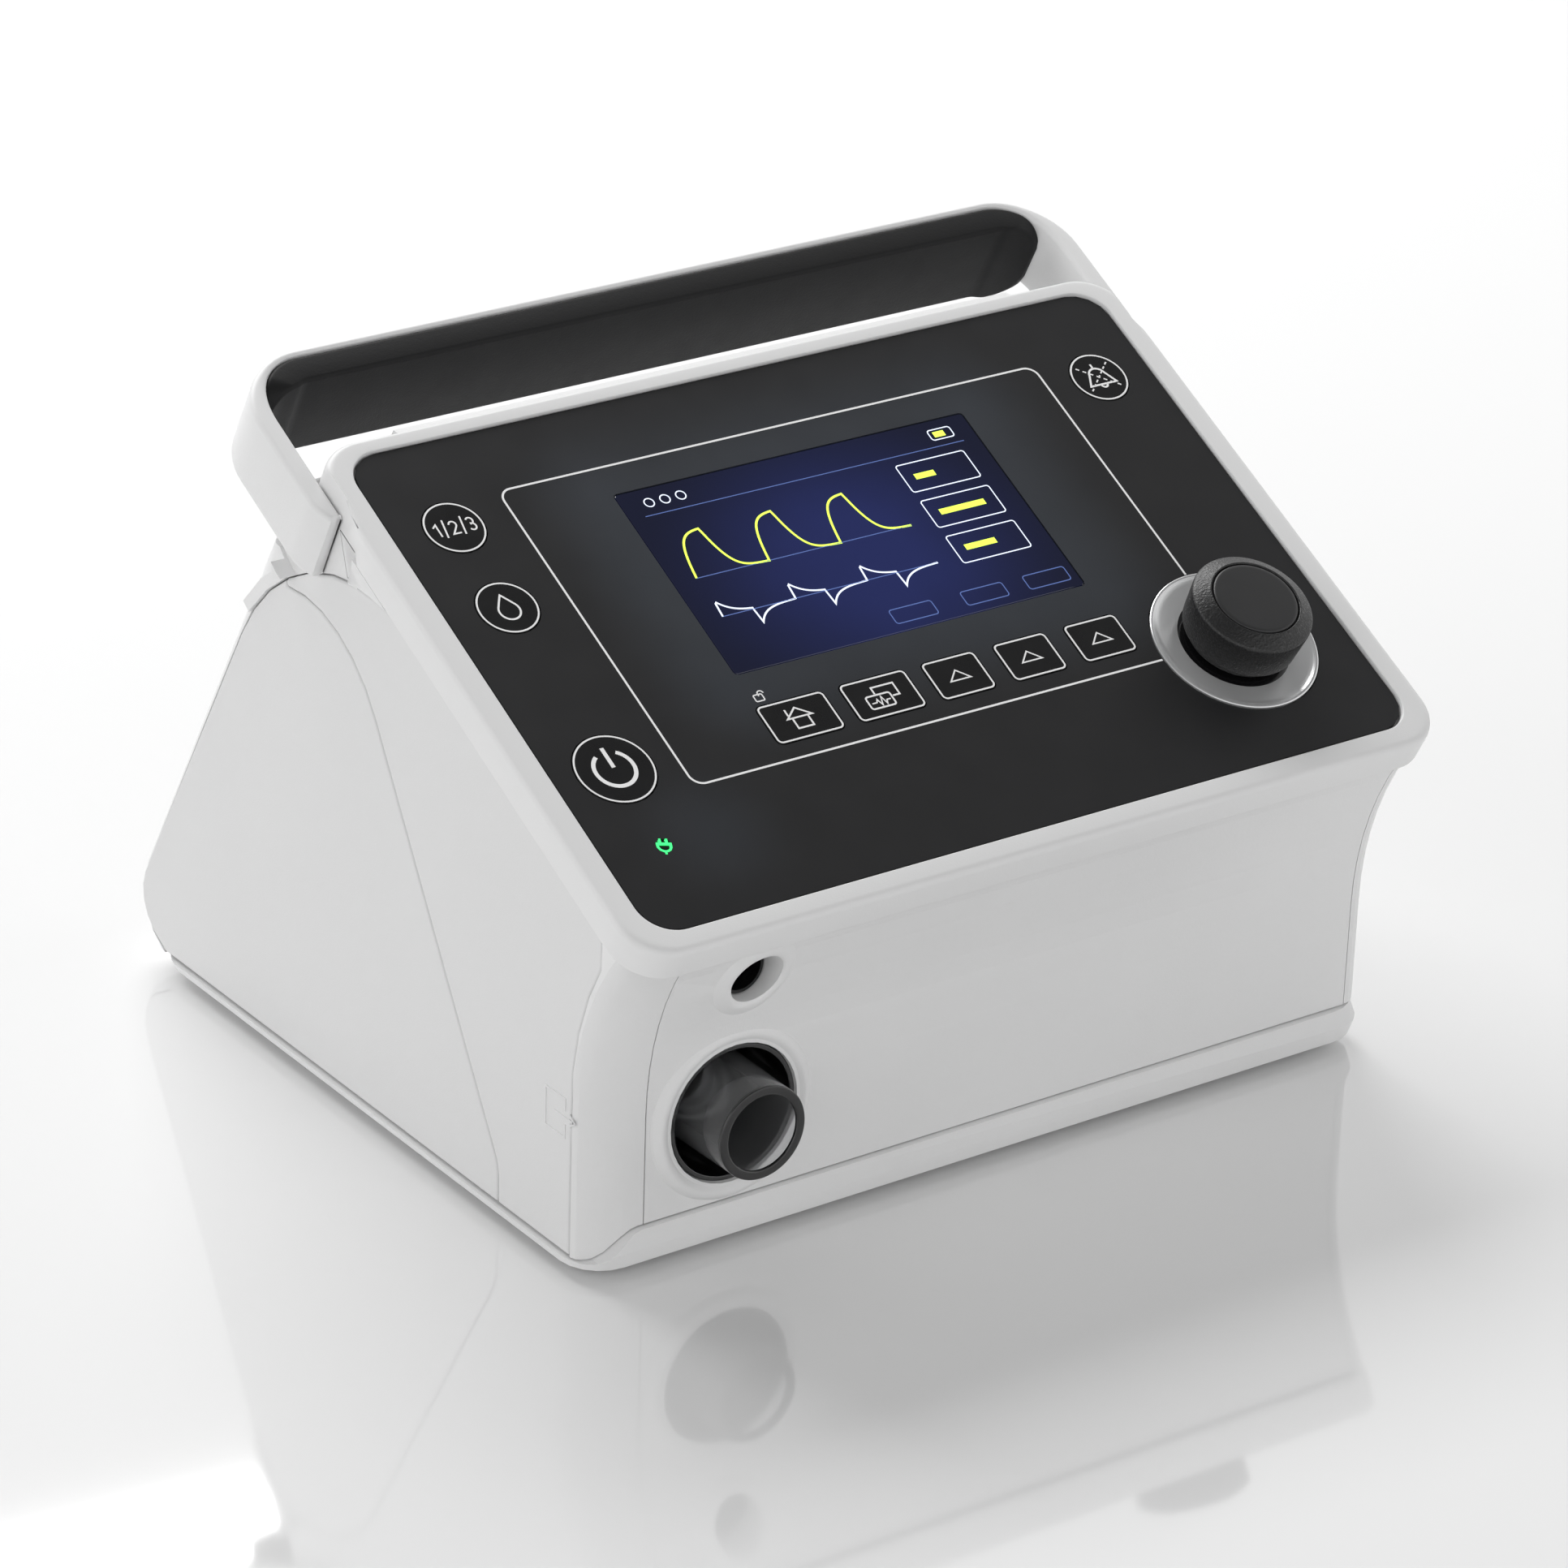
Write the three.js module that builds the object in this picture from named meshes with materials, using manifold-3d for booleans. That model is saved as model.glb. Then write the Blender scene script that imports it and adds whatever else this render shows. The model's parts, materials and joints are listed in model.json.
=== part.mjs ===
// A portable ventilator for home and ward: a wedge-shaped housing with a tilted control
// panel, a carrying handle that swings over it, a 22 mm hose outlet and its insides.
// Millimetres, +Z up, feet on z = 0. X runs along the front and the outlet looks along -Y.

import * as THREE from 'three';
import { mergeVertices } from 'three/addons/utils/BufferGeometryUtils.js';
import Module from 'manifold-3d';

const wasm = await Module();
wasm.setup();

// ---------------------------------------------------------------- driving dimensions

const GAP = 0.3;                 // clearance between neighbouring pieces
const WALL = 3;                  // moulded wall
const BODY_HALF = 108;           // half width of the housing over its side panels
const BEZEL_HALF = 109;          // half width of the panel surround
const HANDLE_HALF = 112.5;       // half width over the handle's legs
const REAR_Y = 105.6;             // the heel of the back wall
const BASE_Z = 2;                // underside of the base shell, on 2 mm of foot
const SKIRT_TOP = 11;            // the base's raised skirt along the front
const SKIRT_FALL_FROM = -94;      // where its top starts to fall at the left
const SKIRT_FALL_TO = -106.5;
const STRIP_TOP = 4.7;           // the base's low edge along the sides and back
const BODY_BOTTOM = 5;

// The control panel lies on a plane tilted up from its front edge.
const PANEL_TILT = THREE.MathUtils.degToRad(27.2);
const PANEL_Y = -100.6;
const PANEL_Z = 89.1;
const FOIL_HALF = 102.5;
const FOIL_LENGTH = 137.7;
const FOIL_THICK = 1;
const BEZEL_FRONT = -6.03;        // ends of the surround, measured up the panel
const BEZEL_BACK = 142;
const BEZEL_DEPTH = 8;           // its side below the foil

// The front wall stands upright, then sweeps forward on an arc to the panel's lip.
const FRONT_Y = -84.9;
const SWEEP_Z = 36.8;
const SWEEP_RADIUS = 74.5;
const SWEEP_TOP = 86;
const SWEEP_LEVELS = [SWEEP_Z, 43, 49, 55, 61, 67, 73, 79.6, SWEEP_TOP];
const COVER_LEFT = -92.6;         // the front cover between its two corner columns
const COVER_RIGHT = 102.2;
const CORNER_REACH = 14.5;        // the front left corner's width along the front
const COLUMN_WIDTH = 5.6;        // step back from the front wall to the side panel's edge

// The back wall is one slope from the ridge to a round heel.
const SLOPE_Y = 60.6;
const SLOPE_Z = 100;
const SLOPE = 0.57;             // run for each millimetre of rise
const HEEL_RADIUS = 13.8;
const HEEL_Y = REAR_Y - HEEL_RADIUS;
const HEEL_Z = 17.4;
const HEEL_TOP = 24.5;
const RIDGE_Z = 152.4;
const RIDGE_HALF = 84;
const SHOULDER_Z = 127;          // where the housing stops beside the ridge

// The side panels meet at an apex, a round arch of this circle.
const APEX_Y = 5.9;
const APEX_Z = 71.2;
const APEX_RADIUS = 58;
const RIM = 3;                   // rim between the side panel and the back wall

// The handle, in panel coordinates: s up the slope, h out of the panel.
const PIVOT_S = 134;
const PIVOT_H = -14;
const LEG_START = 119.6;
const BAR_BACK = 173.7;
const BAND_TOP = -4.2;
const BAND_HEIGHT = 19;
const BAND_THICK = 5;             // at the legs
const BAR_THICK = 1.4;            // behind the grip
const HANDLE_CORNER = 18;
const PAD_THICK = 7.1;
const PAD_DROP = 5;               // how far the grip reaches below the band
const LEG_RECESS = 107.2;        // the surround is cut back to here beside the legs

// The hose outlet: a 22 mm conical tube in a round bowl.
const OUTLET_X = -70.7;
const OUTLET_Z = 32.5;
const OUTLET_TIP = -97;
const OUTLET_OUTER = 11;
const OUTLET_BORE = 8.9;
const BOWL_OUTER = 16.2;
const BOWL_INNER = 15;
const PORT_X = -70.3;
const PORT_Z = 67.4;
const PORT_OUTER = 6.1;
const PORT_MOUTH = 86.5;
const PORT_LIP = 1;               // the rim's height over the swept wall

// The dial and knob, in panel coordinates.
const DIAL_X = 73.8;
const DIAL_S = 33.2;
const DIAL_RADIUS = 20;
const KNOB_RADIUS = 14.3;
const KNOB_TOP = 14.4;

// ---------------------------------------------------------------- solids and outlines

const { Matrix4, Vector2, Vector3 } = THREE;
const point = (x, y) => new Vector2(x, y);

// Frames take a shape's x, y and its extrusion to the object's axes.
const ALONG_X = new Matrix4().makeBasis(new Vector3(0, 1, 0), new Vector3(0, 0, 1), new Vector3(1, 0, 0));
const ALONG_MINUS_Y = new Matrix4().makeBasis(
  new Vector3(1, 0, 0), new Vector3(0, 0, 1), new Vector3(0, -1, 0));
const ALONG_Z = new Matrix4();
const ON_PANEL = new Matrix4().makeRotationX(PANEL_TILT).setPosition(0, PANEL_Y, PANEL_Z);
const TO_PANEL = ON_PANEL.clone().invert();

// A closed three.js geometry as a solid for joining and cutting.
function solid(geometry) {
  const bare = geometry.clone();
  bare.deleteAttribute('normal');
  bare.deleteAttribute('uv');
  const merged = mergeVertices(bare, 1e-4);
  const corners = Array.from(merged.index.array);
  const triangles = [];
  for (let i = 0; i < corners.length; i += 3) {
    const [a, b, c] = corners.slice(i, i + 3);
    if (a !== b && b !== c && c !== a) triangles.push(a, b, c);
  }
  const vertProperties = new Float32Array(merged.attributes.position.array);
  const build = (list) => new wasm.Manifold(
    new wasm.Mesh({ numProp: 3, vertProperties, triVerts: new Uint32Array(list) }));
  const body = build(triangles);
  return body.volume() > 0 ? body : build(triangles.reverse());
}

// A solid as three.js geometry.
function toGeometry(body) {
  const mesh = body.getMesh();
  const geometry = new THREE.BufferGeometry();
  geometry.setAttribute('position', new THREE.BufferAttribute(new Float32Array(mesh.vertProperties), 3));
  geometry.setIndex(new THREE.BufferAttribute(new Uint32Array(mesh.triVerts), 1));
  geometry.computeVertexNormals();
  return geometry;
}

const moved = (body, matrix) => solid(toGeometry(body).applyMatrix4(matrix));
const join = (first, ...rest) => rest.reduce((sum, body) => sum.add(body), first);
const cut = (first, ...rest) => rest.reduce((sum, body) => sum.subtract(body), first);

// An outline pushed from one height to another along a frame's third axis.
function prism(frame, outline, from, to, { holes = [], bevel = 0, bevelSteps = 2 } = {}) {
  const shape = new THREE.Shape(outline);
  shape.holes = holes.map((hole) => new THREE.Path(hole));
  const geometry = new THREE.ExtrudeGeometry(shape, {
    depth: to - from - 2 * bevel,
    steps: 1,
    bevelEnabled: bevel > 0,
    bevelThickness: bevel,
    bevelSize: bevel,
    bevelOffset: -bevel,
    bevelSegments: bevelSteps,
  });
  return solid(geometry.translate(0, 0, from + bevel).applyMatrix4(frame));
}

// Points on an arc, angles in degrees.
function arc(x, y, radius, from, to, steps) {
  return Array.from({ length: steps + 1 }, (_, i) => {
    const angle = THREE.MathUtils.degToRad(from + (to - from) * i / steps);
    return point(x + radius * Math.cos(angle), y + radius * Math.sin(angle));
  });
}

const circle = (x, y, radius, sides = 24) => arc(x, y, radius, 0, 360, sides).slice(0, -1);

const rectangle = (x0, y0, x1, y1) => [point(x0, y0), point(x1, y0), point(x1, y1), point(x0, y1)];

function rounded(x0, y0, x1, y1, r, steps = 4) {
  return [
    ...arc(x1 - r, y0 + r, r, -90, 0, steps),
    ...arc(x1 - r, y1 - r, r, 0, 90, steps),
    ...arc(x0 + r, y1 - r, r, 90, 180, steps),
    ...arc(x0 + r, y0 + r, r, 180, 270, steps),
  ];
}

const block = (x0, y0, z0, x1, y1, z1) => prism(ALONG_Z, rectangle(x0, y0, x1, y1), z0, z1);
const rod = (frame, x, y, radius, from, to, sides = 24) => (
  prism(frame, circle(x, y, radius, sides), from, to));
const tube = (frame, x, y, outer, inner, from, to, sides = 24) => prism(
  frame, circle(x, y, outer, sides), from, to, { holes: [circle(x, y, inner, sides)] });

// A profile of [radius, height] points turned about the frame's third axis at x, y.
function turned(frame, x, y, profile, sides = 32) {
  const geometry = new THREE.LatheGeometry(profile.map(([r, h]) => point(r, h)), sides);
  return solid(geometry.rotateX(Math.PI / 2).translate(x, y, 0).applyMatrix4(frame));
}

// Rounded rectangles at rising heights, joined into one closed skin. The front left corner may
// reach further along the front than back along the side.
function stack(levels, steps = 5) {
  const rings = levels.map(({ z, half, front, back, frontCorner, backCorner, leftReach = frontCorner }) => [
    ...arc(half - frontCorner, front + frontCorner, frontCorner, -90, 0, steps),
    ...arc(half - backCorner, back - backCorner, backCorner, 0, 90, steps),
    ...arc(backCorner - half, back - backCorner, backCorner, 90, 180, steps),
    ...arc(0, 0, 1, 180, 270, steps).map((p) => point(
      leftReach - half + leftReach * p.x, front + frontCorner + frontCorner * p.y)),
  ].map((p) => [p.x, p.y, z]));
  const count = rings[0].length;
  const last = levels.length - 1;
  const middle = (k) => [0, (levels[k].front + levels[k].back) / 2, levels[k].z];
  const positions = [...rings.flat(), middle(0), middle(last)].flat();
  const floor = rings.length * count;
  const index = [];
  for (let i = 0; i < count; i += 1) {
    const j = (i + 1) % count;
    for (let k = 0; k < last; k += 1) {
      const low = k * count;
      const high = low + count;
      index.push(low + i, low + j, high + j, low + i, high + j, high + i);
    }
    index.push(floor, j, i, floor + 1, last * count + i, last * count + j);
  }
  const geometry = new THREE.BufferGeometry();
  geometry.setAttribute('position', new THREE.Float32BufferAttribute(positions, 3));
  geometry.setIndex(index);
  return solid(geometry);
}

// An outline grown outward by a distance, its corners mitred.
function grown(outline, distance) {
  const count = outline.length;
  const spin = Math.sign(THREE.ShapeUtils.area(outline));
  return outline.map((p, i) => {
    const before = p.clone().sub(outline[(i + count - 1) % count]).normalize();
    const after = outline[(i + 1) % count].clone().sub(p).normalize();
    const mitre = before.clone().add(after).normalize();
    const reach = distance * spin / Math.max(0.5, mitre.dot(after));
    return point(p.x + mitre.y * reach, p.y - mitre.x * reach);
  });
}

// ---------------------------------------------------------------- the housing's own curves

function frontWall(z) {
  const rise = Math.max(0, z - SWEEP_Z);
  return FRONT_Y - SWEEP_RADIUS + Math.sqrt(SWEEP_RADIUS ** 2 - rise ** 2);
}

function backWall(z) {
  if (z > HEEL_TOP) return SLOPE_Y + (SLOPE_Z - z) * SLOPE;
  return HEEL_Y + Math.sqrt(HEEL_RADIUS ** 2 - (z - HEEL_Z) ** 2);
}

// A point of the panel's side view, s up the slope and h out of it, as y and z.
function side(s, h) {
  return point(
    PANEL_Y + s * Math.cos(PANEL_TILT) - h * Math.sin(PANEL_TILT),
    PANEL_Z + s * Math.sin(PANEL_TILT) + h * Math.cos(PANEL_TILT));
}

// The opening in each side of the housing: front column, panel line, apex arch, slope, heel.
function sideOpening() {
  const columnEdge = (z) => frontWall(z) + COLUMN_WIDTH + Math.max(0, z - SWEEP_Z) * 0.055;
  const slopeAngle = THREE.MathUtils.radToDeg(Math.atan(SLOPE));
  const panelAngle = 90 + THREE.MathUtils.radToDeg(PANEL_TILT);
  const front = [78, 70, 60, 50, SWEEP_Z, BODY_BOTTOM].map((z) => point(columnEdge(z), z));
  return [
    ...arc(HEEL_Y, HEEL_Z, HEEL_RADIUS - RIM, -60, slopeAngle, 4),
    ...arc(APEX_Y, APEX_Z, APEX_RADIUS, slopeAngle, panelAngle, 9),
    side(8, -BEZEL_DEPTH - GAP),
    ...front,
    point(HEEL_Y, BODY_BOTTOM),
  ];
}

// Everything behind the seam of the rear side cover: a straight seam that leans back, rounded
// forward at its top and foot.
function behindSeam(shift) {
  const leanAngle = THREE.MathUtils.radToDeg(Math.atan(SLOPE));
  return grown([
    point(140, -10), point(140, 160), point(60, 160), point(37, 121.2),
    ...arc(31, 82.7, 36.2, 82, 180 - leanAngle, 6),
    ...arc(-38.3, 10.7, 12.9, 180 - leanAngle, 185, 3),
    point(-51.2, -10),
  ], shift);
}

// The surround's cheeks reach down from the panel to the arch over each side opening.
function cheekOutline(margin) {
  return grown([
    side(94, -6), side(128, -6), ...arc(APEX_Y, APEX_Z, APEX_RADIUS + 2 * GAP, 84, 108, 4)], margin);
}

// The base's own height: a skirt along the front that falls to a low strip at both ends, in a
// soft S along the front's left end and in a slope on the right side.
function skirtZone(clear) {
  const fall = Array.from({ length: 7 }, (_, i) => {
    const drop = (1 - Math.cos(Math.PI * i / 6)) / 2;
    return point(
      THREE.MathUtils.lerp(SKIRT_FALL_FROM, SKIRT_FALL_TO, i / 6),
      THREE.MathUtils.lerp(SKIRT_TOP, STRIP_TOP, drop) + clear);
  });
  const front = prism(ALONG_MINUS_Y, [
    point(140, -10), point(140, SKIRT_TOP + clear), ...fall, point(-140, STRIP_TOP + clear), point(-140, -10),
  ], 69, 140);
  const end = prism(ALONG_X, [
    point(-140, -10), point(-69, -10), point(-69, STRIP_TOP + clear),
    point(-80, SKIRT_TOP + clear), point(-140, SKIRT_TOP + clear),
  ], -140, 140);
  return front.intersect(end);
}

const abovePanel = (depth, from, to) => prism(
  ALONG_X, [side(from, -depth), side(to, -depth), side(to, 90), side(from, 90)], -140, 140);

// Both sides of the object at once: a side-view outline between two distances from the middle.
const bothSides = (outline, from, to) => (
  join(prism(ALONG_X, outline, from, to), prism(ALONG_X, outline, -to, -from)));

// ---------------------------------------------------------------- materials

const paint = (color, roughness, metalness = 0) => (
  new THREE.MeshStandardMaterial({ color, roughness, metalness }));
const white = paint(0xe9eaeb, 0.45);
const lightGrey = paint(0xdcdddf, 0.5);
const charcoal = paint(0x242527, 0.4);
const black = paint(0x131314, 0.55);
const glossBlack = paint(0x0c0c0d, 0.15);
const smoke = paint(0x3a3b3e, 0.1);
const silver = paint(0xc4c6c8, 0.3, 0.9);
const steel = paint(0x9da0a3, 0.35, 1);
const rubber = paint(0x2b2b2c, 0.9);
const navy = paint(0x10163f, 0.2);
const board = paint(0x1f5c3a, 0.5);
const foam = paint(0x54565a, 0.95);
const felt = paint(0xf0efe9, 0.95);
const green = paint(0x3ddc62, 0.3);

const ventilator = new THREE.Group();
const panel = new THREE.Group();
panel.rotation.x = PANEL_TILT;
panel.position.set(0, PANEL_Y, PANEL_Z);
ventilator.add(panel);

function add(name, body, material, group = ventilator) {
  const mesh = new THREE.Mesh(toGeometry(body), material);
  mesh.name = name;
  group.add(mesh);
}

// ---------------------------------------------------------------- base, feet and screws

const FEET = [[-84, -64], [84, -64], [-84, 78], [84, 78]];
const FOOT_NAMES = ['front_left', 'front_right', 'rear_left', 'rear_right'];
const FOOT_RADIUS = 8;
const FOOT_TOP = 3.2;
const SCREWS = [[-92, -48], [92, -48], [-92, 62], [92, 62]];
const SCREW_HEAD = 2.8;
const SCREW_SHANK = 1.5;

function addBase() {
  const level = (z, half, front, back, corner) => (
    { z, half, front, back, frontCorner: corner, backCorner: corner });
  const skin = stack([
    level(BASE_Z, 106.8, -84.6, 91, 9),
    level(3.2, 108.6, -86.6, 94, 10),
    level(7, 109.3, -87.6, 97, 10),
    level(SKIRT_TOP, 108.3, -86.4, 98, 10),
  ]);
  const hollow = stack([
    level(5, 103.5, -81.5, 91, 8),
    level(20, 104.6, -83, 93, 8),
  ]);
  const notBase = cut(block(-140, -140, STRIP_TOP, 140, 140, 30), skirtZone(0));
  const footPockets = FEET.map(([x, y]) => rod(ALONG_Z, x, y, FOOT_RADIUS + GAP, 0, FOOT_TOP + GAP));
  const screwHoles = SCREWS.flatMap(([x, y]) => [
    rod(ALONG_Z, x, y, SCREW_HEAD + GAP, 0, 3.6, 12), rod(ALONG_Z, x, y, SCREW_SHANK + GAP, 0, 9, 12)]);
  add('base_shell', cut(skin, hollow, notBase, ...footPockets, ...screwHoles), white);

  FEET.forEach(([x, y], i) => {
    const profile = [
      [0, 0], [FOOT_RADIUS - 0.8, 0], [FOOT_RADIUS, 0.8], [FOOT_RADIUS, FOOT_TOP], [0, FOOT_TOP]];
    add(`foot_${FOOT_NAMES[i]}`, turned(ALONG_Z, x, y, profile, 24), rubber);
  });
  SCREWS.forEach(([x, y], i) => {
    const driveSocket = prism(ALONG_Z, circle(x, y, 1.3, 6), 2.2, 3);
    const screw = join(
      rod(ALONG_Z, x, y, SCREW_HEAD, 2.2, 3.4, 16), rod(ALONG_Z, x, y, SCREW_SHANK, 3.2, 7.5, 12));
    add(`base_screw_${FOOT_NAMES[i]}`, cut(screw, driveSocket), steel);
  });
}

// ---------------------------------------------------------------- main housing and its covers

const HANDLE_PIVOT = side(PIVOT_S, PIVOT_H);
const PIN_RADIUS = 3;
const SWING_RADIUS = 17.8;       // the leg's nose sweeps this circle round the pin
const FILTER_BAY = { y0: 4, y1: 62, z0: 22, z1: 62 };
const CARD = { y0: -66, y1: -42, z: 40, thick: 2.1 };
const INLET = { x: 58, z: 31, half: 14, height: 9 };
const DATA_PORT = { x: 20, z: 31, half: 8, height: 7 };

function addHousing() {
  const heights = [BODY_BOTTOM, 8, 12, HEEL_Z, HEEL_TOP, ...SWEEP_LEVELS, RIDGE_Z];
  const bodyLevels = (half, wall, corner) => heights.map((z) => ({
    z, half, front: frontWall(Math.min(z, SWEEP_TOP)) + wall, back: backWall(z) - wall,
    frontCorner: corner, backCorner: 6,
  }));
  const skin = stack(bodyLevels(BODY_HALF, 0, 6).map((level) => ({ ...level, leftReach: CORNER_REACH })));
  const cavity = stack(bodyLevels(BODY_HALF - 5.5, WALL, 8)
    .map((level, i) => (i === 0 ? { ...level, z: BODY_BOTTOM - 1 } : level)));

  const behindBezel = (s, half, floor) => cut(
    prism(ALONG_X, [side(s, -60), side(s + 80, -60), side(s + 80, 60), side(s, 60)], -140, 140),
    block(-half, -200, 0, half, 200, 300), block(-200, -200, -10, 200, 200, floor));
  const swing = bothSides(circle(HANDLE_PIVOT.x, HANDLE_PIVOT.y, SWING_RADIUS, 32), LEG_RECESS, 140);
  const solidInside = cut(
    cavity, behindBezel(BEZEL_BACK - WALL, RIDGE_HALF - WALL, SHOULDER_Z - WALL),
    abovePanel(BEZEL_DEPTH + WALL + 1, BEZEL_BACK - WALL, 260));

  const nub = [
    point(26.8, 127.1), point(33.7, 130.7), point(37.6, 127.2), point(36.3, 121.5), point(25.3, 121.5)];
  const rimTop = [
    ...arc(APEX_Y, APEX_Z, APEX_RADIUS + RIM, 38, 90, 5), ...arc(APEX_Y, APEX_Z, APEX_RADIUS - 1, 90, 38, 5)];
  let housing = cut(
    join(skin, bothSides(nub, 100, HANDLE_HALF - 1), bothSides(rimTop, 100, BODY_HALF + 0.6)),
    solidInside,
    abovePanel(BEZEL_DEPTH + GAP, -60, BEZEL_BACK + GAP),
    behindBezel(BEZEL_BACK - 1, RIDGE_HALF, SHOULDER_Z),
    swing,
    bothSides(cheekOutline(GAP), BODY_HALF - 3 - GAP, 140),
    skirtZone(GAP),
    bothSides(sideOpening(), BODY_HALF - 3, 140),
    block(COVER_LEFT - GAP, -140, 0, COVER_RIGHT + GAP, -74, 82));

  // Pin bores, the humidifier's air port, the filter bay, card slot and rear sockets.
  housing = cut(
    housing,
    bothSides(circle(HANDLE_PIVOT.x, HANDLE_PIVOT.y, PIN_RADIUS + GAP, 20), 90, 120),
    prism(ALONG_X, circle(20, 40, 13), -112, -95),
    prism(ALONG_X, rectangle(FILTER_BAY.y0, FILTER_BAY.z0, FILTER_BAY.y1, FILTER_BAY.z1), 95, 112),
    prism(ALONG_X, rectangle(CARD.y0 - 1, CARD.z - 1.5, CARD.y1 + 1, CARD.z + CARD.thick + 1.5), 95, 112),
    block(
      INLET.x - INLET.half, 80, INLET.z - INLET.height, INLET.x + INLET.half, 130, INLET.z + INLET.height),
    block(DATA_PORT.x - DATA_PORT.half, 80, DATA_PORT.z - DATA_PORT.height,
      DATA_PORT.x + DATA_PORT.half, 130, DATA_PORT.z + DATA_PORT.height));
  // Screw bosses stand in the corners of the cavity.
  const bosses = SCREWS.map(([x, y]) => cut(
    join(
      rod(ALONG_Z, x, y, 4.5, 5.5, 20, 12),
      block(Math.min(x, x * 1.12), y - 2, 5.5, Math.max(x, x * 1.12), y + 2, 20)),
    rod(ALONG_Z, x, y, SCREW_SHANK + GAP, 5, 9, 12)));
  add('main_housing', join(housing, ...bosses), white);
}

function addCovers() {
  const opening = sideOpening();
  const plate = grown(opening, -GAP);
  const thick = [BODY_HALF - 3 + GAP, BODY_HALF];
  const rearZone = behindSeam(-GAP / 2);
  const frontCut = behindSeam(GAP / 2);
  const placed = (sign) => (sign < 0 ? [-thick[1], -thick[0]] : thick);
  const skirt = skirtZone(GAP);
  [-1, 1].forEach((sign) => {
    const whole = cut(prism(ALONG_X, plate, ...placed(sign)), skirt, abovePanel(BEZEL_DEPTH + GAP, -60, 200));
    const swing = bothSides(circle(HANDLE_PIVOT.x, HANDLE_PIVOT.y, PIN_RADIUS + 2, 20), 90, 120);
    let front = cut(whole, prism(ALONG_X, frontCut, -140, 140), swing);
    let rear = cut(whole.intersect(prism(ALONG_X, rearZone, -140, 140)), swing);
    if (sign > 0) {
      front = cut(front, prism(
        ALONG_X, rectangle(CARD.y0 - GAP, CARD.z - GAP, CARD.y1 + GAP, CARD.z + CARD.thick + GAP), 100, 110));
      // Air intake: rows of slots over the filter.
      const slots = Array.from({ length: 9 }, (_, i) => prism(
        ALONG_X, rounded(FILTER_BAY.y0 + 5 + 5.4 * i, FILTER_BAY.z0 + 6, FILTER_BAY.y0 + 7.4 + 5.4 * i, FILTER_BAY.z1 - 6, 1.15, 2),
        100, 110));
      rear = cut(rear, ...slots);
    }
    add(sign < 0 ? 'left_side_panel' : 'right_side_panel', front, lightGrey);
    add(sign < 0 ? 'humidifier_cover' : 'filter_cover', rear, lightGrey);
  });

  // Front cover: the swept wall, a raised ring round the outlet and a rimmed port.
  const heights = [SKIRT_TOP + GAP, ...SWEEP_LEVELS.slice(0, -1)];
  const wall = [
    ...heights.map((z) => point(frontWall(z), z)),
    ...heights.slice().reverse().map((z) => point(frontWall(z) + WALL, z)),
  ];
  const ring = rod(ALONG_MINUS_Y, OUTLET_X, OUTLET_Z, 18.4, -FRONT_Y - 2, -FRONT_Y + 1.4, 36);
  const overWall = prism(ALONG_X, [
    ...heights.map((z) => point(frontWall(z) - PORT_LIP, z)),
    point(FRONT_Y + WALL, heights[heights.length - 1]), point(FRONT_Y + WALL, heights[0]),
  ], COVER_LEFT, 0);
  const rim = rod(ALONG_MINUS_Y, PORT_X, PORT_Z, PORT_OUTER + 2.3, 80, 100, 32).intersect(overWall);
  const cover = cut(
    join(prism(ALONG_X, wall, COVER_LEFT, COVER_RIGHT), ring, rim),
    rod(ALONG_MINUS_Y, OUTLET_X, OUTLET_Z, BOWL_OUTER + GAP, 60, 100, 36),
    rod(ALONG_MINUS_Y, PORT_X, PORT_Z, PORT_OUTER + GAP, 60, 100, 32));
  add('front_cover', cover, white);
}

// ---------------------------------------------------------------- panel surround and foil

const KEYS = {
  power_key: { x: -87.5, s: 42.5, radius: 9.3 },
  humidifier_key: { x: -87.5, s: 89.5, radius: 7.2 },
  program_key: { x: -87.5, s: 113.4, radius: 7.2 },
  alarm_mute_key: { x: 88.3, s: 112.8, radius: 7.2 },
  home_key: { x: -39.2, s: 43, width: 17.6 },
  monitor_key: { x: -17.4, s: 43, width: 17.6 },
  function_key_left: { x: 3.1, s: 43, width: 14.4 },
  function_key_middle: { x: 22.7, s: 43, width: 14.4 },
  function_key_right: { x: 42.3, s: 43, width: 14.4 },
};
const KEY_HEIGHT = 10.8;
const KEY_THICK = 0.9;
const KEY_TRAVEL_ROOM = 1.2;
const SCREEN = { x0: -47, x1: 48, s0: 58.1, s1: 111.9 };
const LAMP = { x: -87.7, s: 20.9, radius: 1.6 };

function keyOutline({ x, s, radius, width }, margin) {
  if (radius) return circle(x, s, radius + margin, 24);
  const half = width / 2 + margin;
  const tall = KEY_HEIGHT / 2 + margin;
  return rounded(x - half, s - tall, x + half, s + tall, 1.4 + margin, 3);
}

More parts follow.
